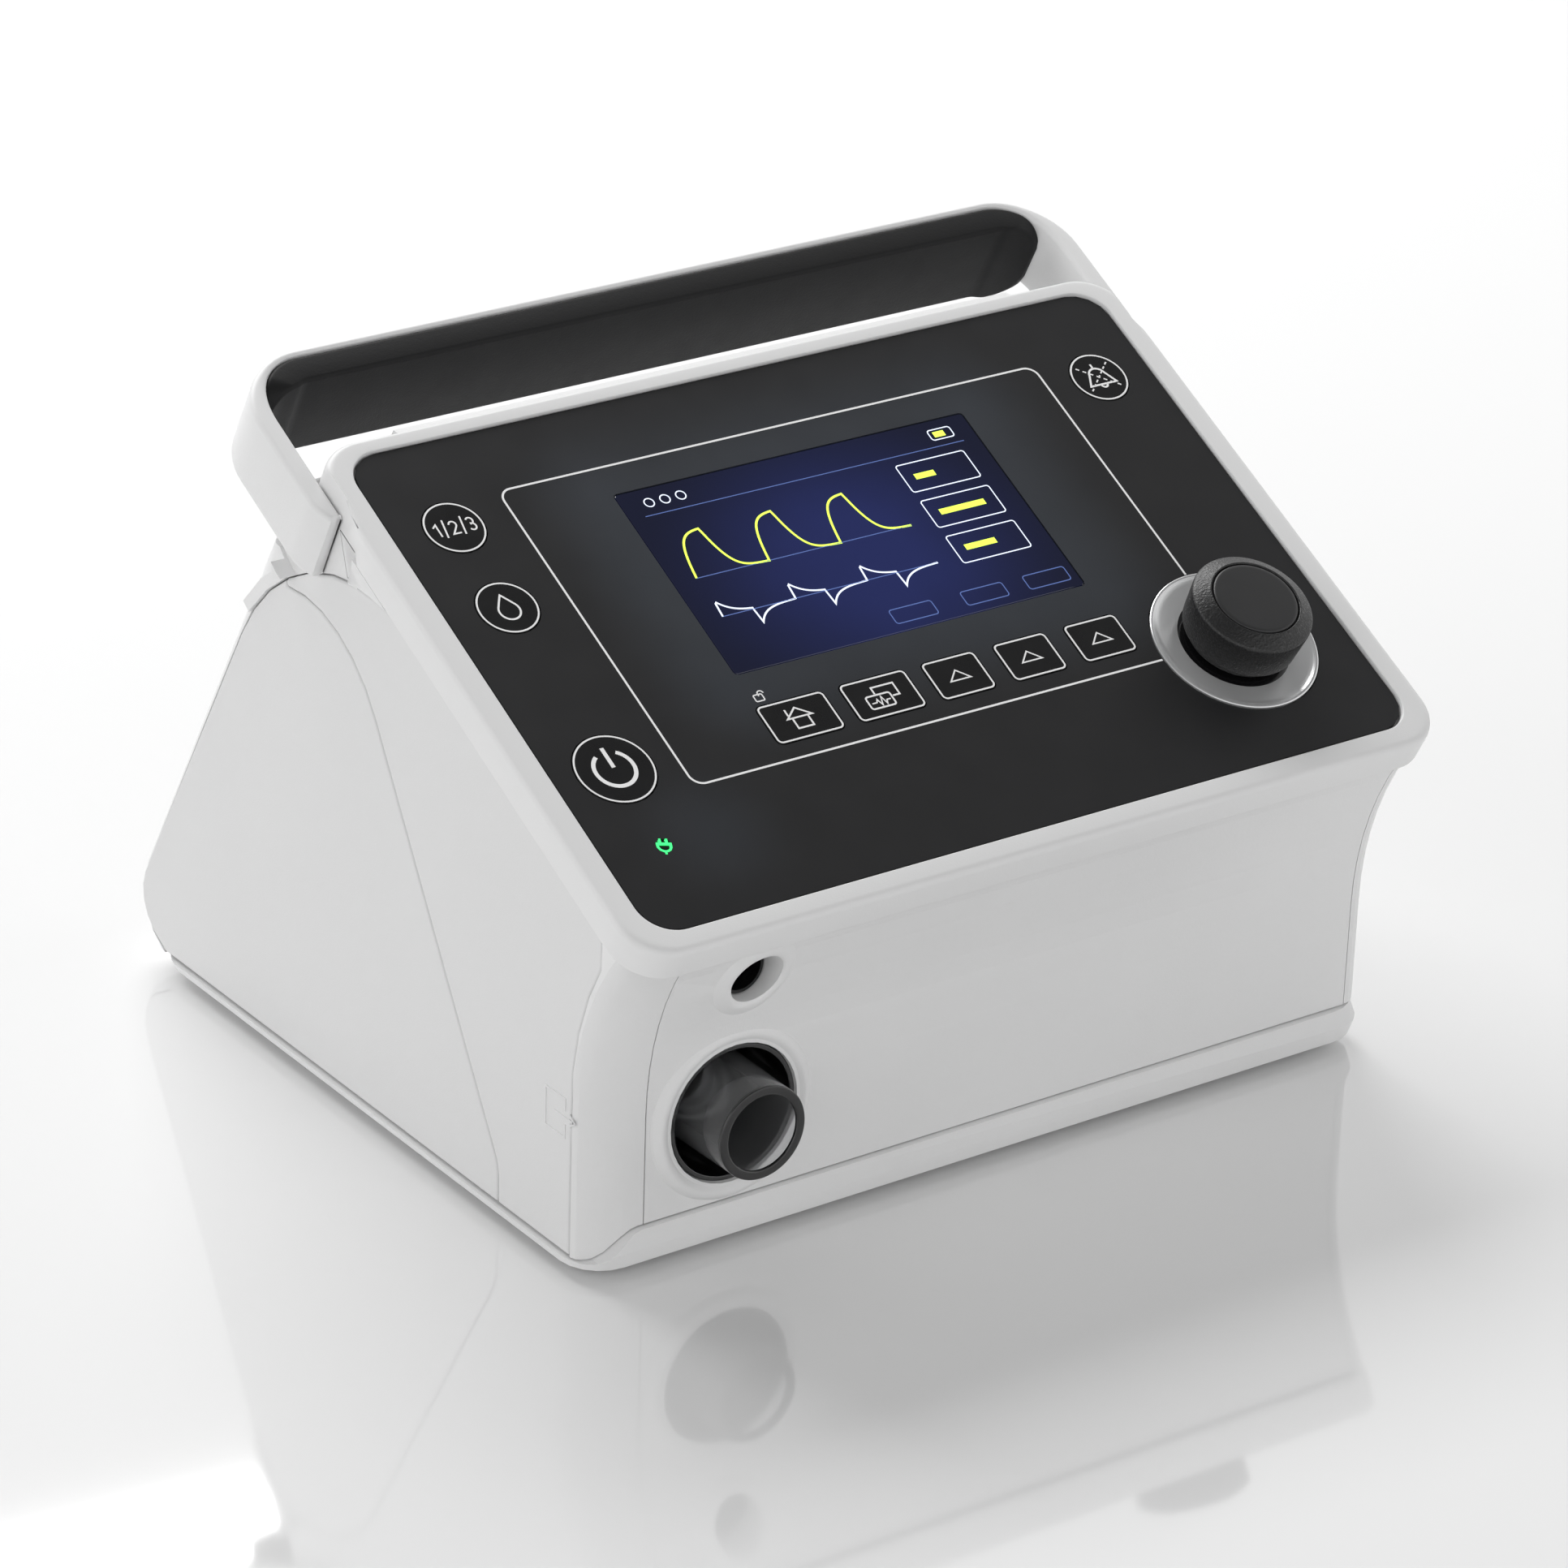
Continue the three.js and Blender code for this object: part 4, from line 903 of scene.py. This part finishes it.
class VENTILATOR_OT_screen(bpy.types.Operator):
    """Builds the screen's window and the curves that it shows"""

    bl_idname = "ventilator.screen"
    bl_label = "Screen"

    def execute(self, context):
        low, high = panel_span("display_window")
        outline = box_path(low[:2], high[:2], 0.8, 6)
        levels = ((0.0, low[2]), (0.0, high[2] - 0.1), (0.1, high[2]))
        middle = (low + high)[:2] / 2
        half = (high - low)[:2] / 2
        rings = [
            at_height(middle + (outline - middle) * (1 - inset / half), level) for inset, level in levels]
        build("screen_window", [skin(rings, caps=(True, True))], ("screen",), "housing", ("display_window",))
        self.curves(low, high)
        return {"FINISHED"}

    def curves(self, low, high):
        """Three breaths of pressure over three of flow, their base lines, a bar gauge and blank
        fields. Pressure rises as one less an exponential, holds and decays; flow is its slope."""
        left, right = 6, 64
        pressure_base, flow_base = 27, 15.5
        breath_in = 0.42
        time = np.linspace(0, 3, 181)
        phase = time % 1
        late = phase - breath_in
        pressure = np.where(late < 0, 1 - np.exp(-phase / 0.09), np.exp(-late / 0.1))
        flow = np.where(late < 0, np.exp(-phase / 0.16) * 0.9, -np.exp(-late / 0.13) * 0.8)
        flow *= np.clip(phase / 0.02, 0, 1)
        along = left + (right - left) * time / 3
        fine, thick, bar = 0.22, 0.28, 1.6

        def field(x, s, wide, tall):
            return box_path((x, s), (x + wide, s + tall), 0.7, 4)

        # Each line as its path from the screen's low corner, closed or not, and width.
        bright = [(np.column_stack([along, pressure_base + 13 * pressure]), False, 0.55)]
        bright += [(((73, s), (73 + length, s)), False, bar)
                   for s, length in ((17.6, 8.5), (28.6, 12.5), (39.6, 5.5))]
        bright.append((((84.6, 49.7), (87.6, 49.7)), False, bar))
        pale = [(np.column_stack([along, flow_base + 5.5 * flow]), False, 0.45)]
        pale += [(field(70, s, 19, 8.2), True, thick) for s in (13.5, 24.5, 35.5)]
        pale.append((field(83.5, 48.2, 6.2, 3.0), True, thick))
        pale += [(ring_path((7 + 4.2 * number, 49.8), 1.2, 24), True, thick) for number in range(3)]
        dim = [(((left, base), (right, base)), False, fine) for base in (pressure_base, flow_base)]
        dim += [(field(x, 2.2, 11.5, 4), True, 0.25) for x in (44.5, 64, 81.3)]
        dim.append((((4, 46.3), (high[0] - low[0] - 4, 46.3)), False, fine))
        under, top = high[2] - 0.02, high[2] + 0.02
        parts = []
        for number, group in enumerate((bright, pale, dim)):
            parts += [(*line(np.asarray(path) + low[:2], under, top, closed, width), number)
                      for path, closed, width in group]
        build("screen_curves", parts, ("trace", "pale_trace", "dim_trace"), "housing")


class VENTILATOR_OT_dial(bpy.types.Operator):
    """Builds the dial's silver ring, the knob and its cap"""

    bl_idname = "ventilator.dial"
    bl_label = "Dial and knob"

    def execute(self, context):
        low, high = panel_span("dial_ring")
        middle, radius = (low + high)[:2] / 2, (high - low)[0] / 2
        ring = ((12.6, -0.9), (radius, -0.9), (radius, 0.3), (radius - 0.12, 0.44), (radius - 0.35, 0.5),
                (radius - 0.8, 0.42), (radius - 1.1, 0.2), (radius - 2.5, 0.0), (15.5, -0.15), (12.6, -0.25))
        build("dial_disc", [turned_ring(middle, ring)], ("ring",), "housing", ("dial_ring",), 40)

        collar = ((4.0, -0.85), (13.4, -0.85), (13.4, -0.2), (12.2, 0.1), (4.0, 0.1))
        build("dial_collar", [turned_ring(middle, collar)], ("gloss",), "housing", smooth=40)

        knob_low, knob_high = panel_span("knob_body")
        wide, top = (knob_high - knob_low)[0] / 2, knob_high[2]
        cap_low, cap_high = panel_span("knob_cap")
        cap_radius = (cap_high - cap_low)[0] / 2
        bore, foot, seat, lip = 3.2, 1.2, top - 1.2, cap_radius + 0.3
        corners = ((bore, foot), (11.8, foot), (11.8, 2.7), (wide - 0.75, 2.9), (wide, 12.3),
                   (cap_radius + 0.55, top), (lip, top - 0.4), (lip, seat), (bore, seat))
        body = turned_ring(middle, eased_profile(corners, (0, 0, 0, 1.1, 0.7, 0.25, 0, 0, 0), 7))
        build("knob_turning", [body], ("knob",), "knob", ("knob_body",), 40)
        groove = sizes().knob_groove
        cap = ((0, top - 0.9), (cap_radius, top - 0.9), (cap_radius, top - groove),
               (cap_radius - 0.15, top - 0.12), (cap_radius - 0.4, top - 0.02), (cap_radius - 1, top),
               (0, top))
        build("knob_inlay", [turned(middle, cap)], ("cap",), "knob", ("knob_cap",), 50)
        return {"FINISHED"}


class VENTILATOR_OT_handle(bpy.types.Operator):
    """Builds the swinging handle and its grip"""

    bl_idname = "ventilator.handle"
    bl_label = "Handle"

    corner = 18.0
    leg, pad, gap = 5.0, 7.1, 0.3
    nose, nose_run, nose_tip = 124.0, 9.0, 1.0
    pad_sweep, pad_round, pad_ease = 78, 8.0, 12

    def execute(self, context):
        low, high = panel_span("handle_bail")
        self.half, self.back = high[0], high[1]
        self.floor, self.top = low[2], high[2]
        grip_low, grip_high = panel_span("handle_grip")
        self.bar = self.back - grip_high[1] - self.gap
        self.pad_floor = grip_low[2]
        self.band()
        self.grip()
        return {"FINISHED"}

    def band(self):
        """The band: a section carried round the outer path, as thick as the leg, thinning along
        the bar. Its outside draws in towards the noses by the square of what is left of the way,
        and the noses end on a circle about the pin. Its four edges are rounded."""
        turn_x, turn_s = self.half - self.corner, self.back - self.corner
        leg_run = np.linspace(self.nose, turn_s, 30)[:-1]
        shave = (self.leg - self.nose_tip) * np.clip(1 - (leg_run - self.nose) / self.nose_run, 0, 1) ** 2
        bend = np.linspace(0, 90, 15)
        left = np.column_stack([shave - self.half, leg_run])
        left_bend = arc_path((-turn_x, turn_s), self.corner, 180, 90, 14)
        bar_run = np.linspace(-turn_x, turn_x, 24)[1:-1]
        bar = np.column_stack([bar_run, np.full(len(bar_run), self.back)])
        half_path = np.vstack([left, left_bend])
        path = np.vstack([half_path, bar, half_path[::-1] * (-1, 1)])
        outward = np.vstack([np.tile((-1.0, 0.0), (len(left), 1)), turn(180 - bend)])
        outward = np.vstack([outward, np.tile((0.0, 1.0), (len(bar), 1)), outward[::-1] * (-1, 1)])
        thin = (1 - np.cos(np.radians(bend * 2))) / 2
        thick = np.concatenate([self.leg - shave, self.leg + (self.bar - self.leg) * thin])
        thick = np.concatenate([thick, np.full(len(bar), self.bar), thick[::-1]])
        section = self.section(thick, self.floor, self.top, 1.3)
        inward = -outward[:, None, :] * section[..., :1]
        points = np.concatenate([path[:, None, :] + inward, section[..., 1:]], -1)
        off_pin = points[..., 2] - PIN @ OUTWARD
        ends = self.nose + NOSE_SWING - np.sqrt(np.maximum(NOSE_SWING ** 2 - off_pin ** 2, 0))
        legs = np.abs(points[..., 0]) > self.half - self.leg - 0.1
        points[..., 1] = np.where(legs, np.maximum(points[..., 1], ends), points[..., 1])
        build("handle_band", [skin(points, caps=(True, True))], ("shell",), "handle", ("handle_bail",), 40)

    def section(self, thick, floor, top, radius, steps=4):
        """For each point of a path, a closed loop of distance in from the path and height: a
        rectangle with quarter-round corners of at most the radius."""
        thick, floor, top = (np.broadcast_to(value, len(thick))[:, None] for value in (thick, floor, top))
        r = np.minimum(radius, np.minimum(thick, top - floor) * 0.45)
        loops = []
        for start, deep, tall in ((180, 0, 0), (-90, 1, 0), (0, 1, 1), (90, 0, 1)):
            spokes = turn(np.linspace(start, start + 90, steps + 1))
            across = (thick - r if deep else r) + r * spokes[None, :, 0]
            height = (top - r if tall else floor + r) + r * spokes[None, :, 1]
            loops.append(np.stack([across, height], -1))
        return np.concatenate(loops, 1)

    def grip(self):
        """The grip lines the bar and the start of its bends. Its height shrinks at both ends on a
        quarter circle, so that its face has round corners."""
        inside = self.corner - self.leg
        centre_x = self.half - self.leg - inside
        centre_s = self.back - self.bar - inside
        radius = inside - self.gap
        bend = np.linspace(90 + self.pad_sweep, 90, 34)
        left_bend = np.array([(-centre_x, centre_s)]) + radius * turn(bend)
        run = np.linspace(-centre_x, centre_x, 40)[1:-1]
        bar = np.column_stack([run, np.full(len(run), centre_s + radius)])
        path = np.vstack([left_bend, bar, left_bend[::-1] * (-1, 1)])
        outward = np.vstack([turn(bend), np.tile((0.0, 1.0), (len(bar), 1)), turn(bend)[::-1] * (-1, 1)])
        length = np.concatenate([[0], np.cumsum(np.linalg.norm(np.diff(path, axis=0), axis=1))])
        along = np.minimum(length, length[-1] - length)
        left_over = np.maximum(self.pad_round - along, 0)
        inset = self.pad_round - np.sqrt(self.pad_round ** 2 - left_over ** 2)
        floor, top = self.pad_floor + 0.2 + inset * 0.95, self.top - 0.25 - inset * 0.8
        deep = self.pad - 5.5 * np.clip(1 - along / self.pad_ease, 0, 1) ** 2
        section = self.section(deep, floor, top, 1.0, 5)
        inward = -outward[:, None, :] * section[..., :1]
        points = np.concatenate([path[:, None, :] + inward, section[..., 1:]], -1)
        build("handle_pad", [skin(points, caps=(True, True))], ("grip",), "handle", ("handle_grip",), 40)


class VENTILATOR_OT_outlet(bpy.types.Operator):
    """Builds the hose outlet, its bowl and the pressure port"""

    bl_idname = "ventilator.outlet"
    bl_label = "Hose outlet"

    def execute(self, context):
        low, high = row_span("outlet_tube")
        middle, tip, root = ((low + high) / 2)[[0, 2]], -low[1], -high[1]
        outer, bore, taper, lip_run = 11.0, 8.9, 0.6, 0.8
        tube = eased_profile(
            ((bore, root), (outer + taper, root), (outer, tip), (bore + 0.1, tip)), (0, 0, 1.0, 0.7), 6)
        low_r, high_r = bore + 0.02, outer + 0.04
        lip = eased_profile(
            ((low_r, tip - lip_run), (high_r, tip - lip_run), (high_r, tip + 0.05), (low_r, tip + 0.05)),
            (0.2, 0.2, 0.4, 0.4), 4)
        parts = [(*turned_ring(middle, profile, along_minus_y), number)
                 for number, profile in enumerate((tube, lip))]
        build("hose_outlet", parts, ("smoke", "gloss"), "housing", ("outlet_tube",), 40)

        low, high = row_span("outlet_socket")
        wide, mouth, floor = (high - low)[0] / 2, -low[1], -high[1]
        hole, inside, lift = 12.2, wide - 1.2, floor + 3
        bowl = eased_profile(
            ((hole, floor), (wide, floor), (wide, mouth), (inside, mouth), (inside - 0.6, lift),
             (hole, lift)),
            (0, 0, 0.4, 0.4, 3.0, 0), 6)
        build("outlet_bowl", [turned_ring(middle, bowl, along_minus_y)], ("gloss",), "housing",
              ("outlet_socket",), 40)
        self.rims(middle, wide, mouth)
        return {"FINISHED"}

    def rims(self, outlet, outlet_radius, outlet_mouth):
        """The pressure port and the soft white rims. The port's rim follows the swept wall, a height
        over the wall for each radius. The outlet's is turned, and sinks into the wall where the wall
        sweeps out."""
        low, high = row_span("pressure_port")
        port, wide, mouth, floor = ((low + high) / 2)[[0, 2]], (high - low)[0] / 2, -low[1], -high[1]
        inside, step, pipe = wide - 1, floor + 6, mouth - 6.5
        profile = ((0, floor), (wide, floor), (wide, mouth - 0.2), (wide - 0.2, mouth), (wide - 0.9, mouth),
                   (inside, mouth - 0.3), (inside, step), (1.6, step), (1.5, pipe - 0.1), (1.2, pipe),
                   (0, pipe))
        build("port_insert", [turned(port, profile, along_minus_y)], ("gloss",), "housing",
              ("pressure_port",), 40)
        cover = node_points("front_cover")
        edge = cover[cover[:, 0] > cover[:, 0].max() - 1]
        levels = np.unique(edge[:, 2].round(2))
        wall = [-edge[np.abs(edge[:, 2] - level) < 0.02, 1].min() for level in levels]
        lip = np.array((
            (0, -4), (0, 0.6), (0.12, 0.98), (0.45, 1.25), (0.95, 1.38), (1.6, 1.32), (2.2, 1.1), (2.8, 0.72),
            (3.4, 0.3), (4.0, -0.1), (4.0, -1.5), (0, -4)))
        spokes = turn(np.linspace(0, 360, sizes().sides, endpoint=False))
        clearance = 0.24
        circle = port + (wide + clearance + lip[:, 0:1])[:, None] * spokes[None]
        height = np.interp(circle[..., 1], levels, wall) + lip[:, 1:2]
        rim = skin(np.concatenate([circle, height[..., None]], -1), along_minus_y)
        build("port_rim", [rim], ("shell",), "housing", smooth=50)

        section = np.array((
            (0.15, -2.2), (0.15, -0.35), (0.3, -0.1), (0.7, 0.25), (1.4, 0.7), (2.0, 0.98), (2.5, 1.05),
            (3.0, 0.9), (3.6, 0.45), (4.2, -0.15), (4.8, -1.0), (4.8, -2.2)))
        ring = turned_ring(outlet, section + (outlet_radius, outlet_mouth), along_minus_y)
        build("outlet_rim", [ring], ("shell",), "housing", smooth=50)


class VENTILATOR_OT_side_mark(bpy.types.Operator):
    """Builds the raised outlet symbol on the left side panel"""

    bl_idname = "ventilator.side_mark"
    bl_label = "Outlet symbol"

    def execute(self, context):
        low = row_span("left_side_panel")[0]
        front, base = low[1] + 3.5, 33.0

        def on_side(points):
            outside = np.full(points.shape[:-1], low[0]) - points[..., 2]
            return np.stack([outside, points[..., 0] + front, points[..., 1] + base], -1) * MM

        box = ((9.0, 3.2), (9.0, 0), (16.5, 0), (16.5, 9.2), (9.0, 9.2), (9.0, 6.4))
        arrow = ((13.2, 4.8), (5.6, 4.8))
        head = ((7.2, 6.2), (5.4, 4.8), (7.2, 3.4))
        parts = [line(path, -0.1, 0.16, False, 0.5, on_side) for path in (box, arrow, head)]
        build("outlet_mark", parts, ("side",), "housing")
        return {"FINISHED"}


class VENTILATOR_OT_studio(bpy.types.Operator):
    """Builds the floor, the lights, the white surroundings and the camera"""

    bl_idname = "ventilator.studio"
    bl_label = "Studio"

    def execute(self, context):
        self.camera(context.scene.ventilator_studio)
        self.floor()
        self.lights(context.scene.ventilator_studio)
        context.scene.view_settings.view_transform = "Standard"
        return {"FINISHED"}

    def camera(self, studio):
        """Looks from the azimuth and elevation at the aim, then leans by the roll."""
        azimuth, elevation, roll = studio.azimuth, studio.elevation, studio.roll
        level_share = math.cos(elevation)
        forward = Vector((
            -math.sin(azimuth) * level_share, math.cos(azimuth) * level_share, -math.sin(elevation)))
        level = forward.cross(Vector((0, 0, 1))).normalized()
        above = level.cross(forward)
        right = level * math.cos(roll) + above * math.sin(roll)
        up = right.cross(forward)
        data = bpy.data.cameras.new("view")
        data.lens = studio.lens
        data.clip_end = 50
        camera = bpy.data.objects.new("view", data)
        turn_matrix = Matrix((right, up, -forward)).transposed().to_4x4()
        camera.matrix_world = Matrix.Translation(Vector(studio.aim) - forward * studio.distance) @ turn_matrix
        bpy.context.scene.collection.objects.link(camera)
        bpy.context.scene.camera = camera

    def floor(self):
        """A wide glossy white sheet under the feet."""
        white, mirror = 0.93, bpy.context.scene.ventilator_studio.mirror
        tones = [(value, value, value, 1) for value in (white - 0.005, white + 0.005)]
        shader = Shader("glossy_floor", tones[0], 0.06, Metallic=mirror)
        shader.colour(shader.blend(shader.noise(3, 2), *tones))
        shader.rough(0.04 + shader.noise(5, 2) * 0.03)
        reach = 30.0
        corners = [(x * reach, y * reach, 0) for x, y in ((-1, -1), (1, -1), (1, 1), (-1, 1))]
        mesh = bpy.data.meshes.new("studio_floor")
        mesh.from_pydata(corners, [], [(0, 1, 2, 3)])
        mesh.materials.append(shader.material)
        floor = bpy.data.objects.new("studio_floor", mesh)
        bpy.context.scene.collection.objects.link(floor)

    def lights(self, studio):
        """White walls, darker overhead, and two area lights aimed at the object's middle."""
        world = bpy.data.worlds.new("white_room")
        bpy.context.scene.world = world
        world.use_nodes = True
        tree = world.node_tree
        background = tree.nodes["Background"]
        background.inputs["Strength"].default_value = studio.sky
        split = tree.nodes.new("ShaderNodeSeparateXYZ")
        step = tree.nodes.new("ShaderNodeMapRange")
        step.interpolation_type = "SMOOTHSTEP"
        for socket, value in (
                ("From Min", 0.5), ("From Max", 0.78), ("To Min", 1.0), ("To Max", studio.ceiling)):
            step.inputs[socket].default_value = value
        tree.links.new(tree.nodes.new("ShaderNodeTexCoord").outputs["Generated"], split.inputs[0])
        tree.links.new(split.outputs["Z"], step.inputs["Value"])
        tree.links.new(step.outputs[0], background.inputs["Color"])
        middle = Vector((0, 0, 0.08))
        for name, place, size, power in (
                ("behind", (0.15, 1.3, 1.5), (1.6, 0.9), studio.key),
                ("left_wall", (-1.6, 0.1, 0.8), (1.0, 1.0), studio.wall)):
            data = bpy.data.lights.new(name, "AREA")
            data.shape = "RECTANGLE"
            data.size, data.size_y = size
            data.energy = power
            light = bpy.data.objects.new(name, data)
            aim = middle - Vector(place)
            light.rotation_euler = aim.to_track_quat("-Z", "Y").to_euler()
            light.location = place
            bpy.context.scene.collection.objects.link(light)


class VENTILATOR_PT_panel(bpy.types.Panel):
    bl_label = "Ventilator"
    bl_idname = "VENTILATOR_PT_panel"
    bl_space_type = "VIEW_3D"
    bl_region_type = "UI"
    bl_category = "Ventilator"

    def draw(self, context):
        for operator in OPERATORS:
            self.layout.operator(operator.bl_idname)
        for group in ("ventilator_sizes", "ventilator_colours", "ventilator_studio"):
            box = self.layout.box()
            settings = getattr(context.scene, group)
            for name in settings.__annotations__:
                box.prop(settings, name)


OPERATORS = (
    VENTILATOR_OT_studio, VENTILATOR_OT_finishes, VENTILATOR_OT_housing, VENTILATOR_OT_surround,
    VENTILATOR_OT_controls, VENTILATOR_OT_screen, VENTILATOR_OT_dial, VENTILATOR_OT_handle,
    VENTILATOR_OT_outlet, VENTILATOR_OT_side_mark,
)
GROUPS = {
    "ventilator_sizes": VentilatorSizes, "ventilator_colours": VentilatorColours,
    "ventilator_studio": VentilatorStudio,
}
CLASSES = (*GROUPS.values(), *OPERATORS, VENTILATOR_PT_panel)


def register():
    for cls in CLASSES:
        bpy.utils.register_class(cls)
    for name, group in GROUPS.items():
        setattr(bpy.types.Scene, name, bpy.props.PointerProperty(type=group))


def unregister():
    for name in GROUPS:
        delattr(bpy.types.Scene, name)
    for cls in reversed(CLASSES):
        bpy.utils.unregister_class(cls)


def main():
    register()
    for operator in OPERATORS:
        family, name = operator.bl_idname.split(".")
        getattr(getattr(bpy.ops, family), name)()
    bpy.context.view_layer.update()


if __name__ == "__main__":
    main()
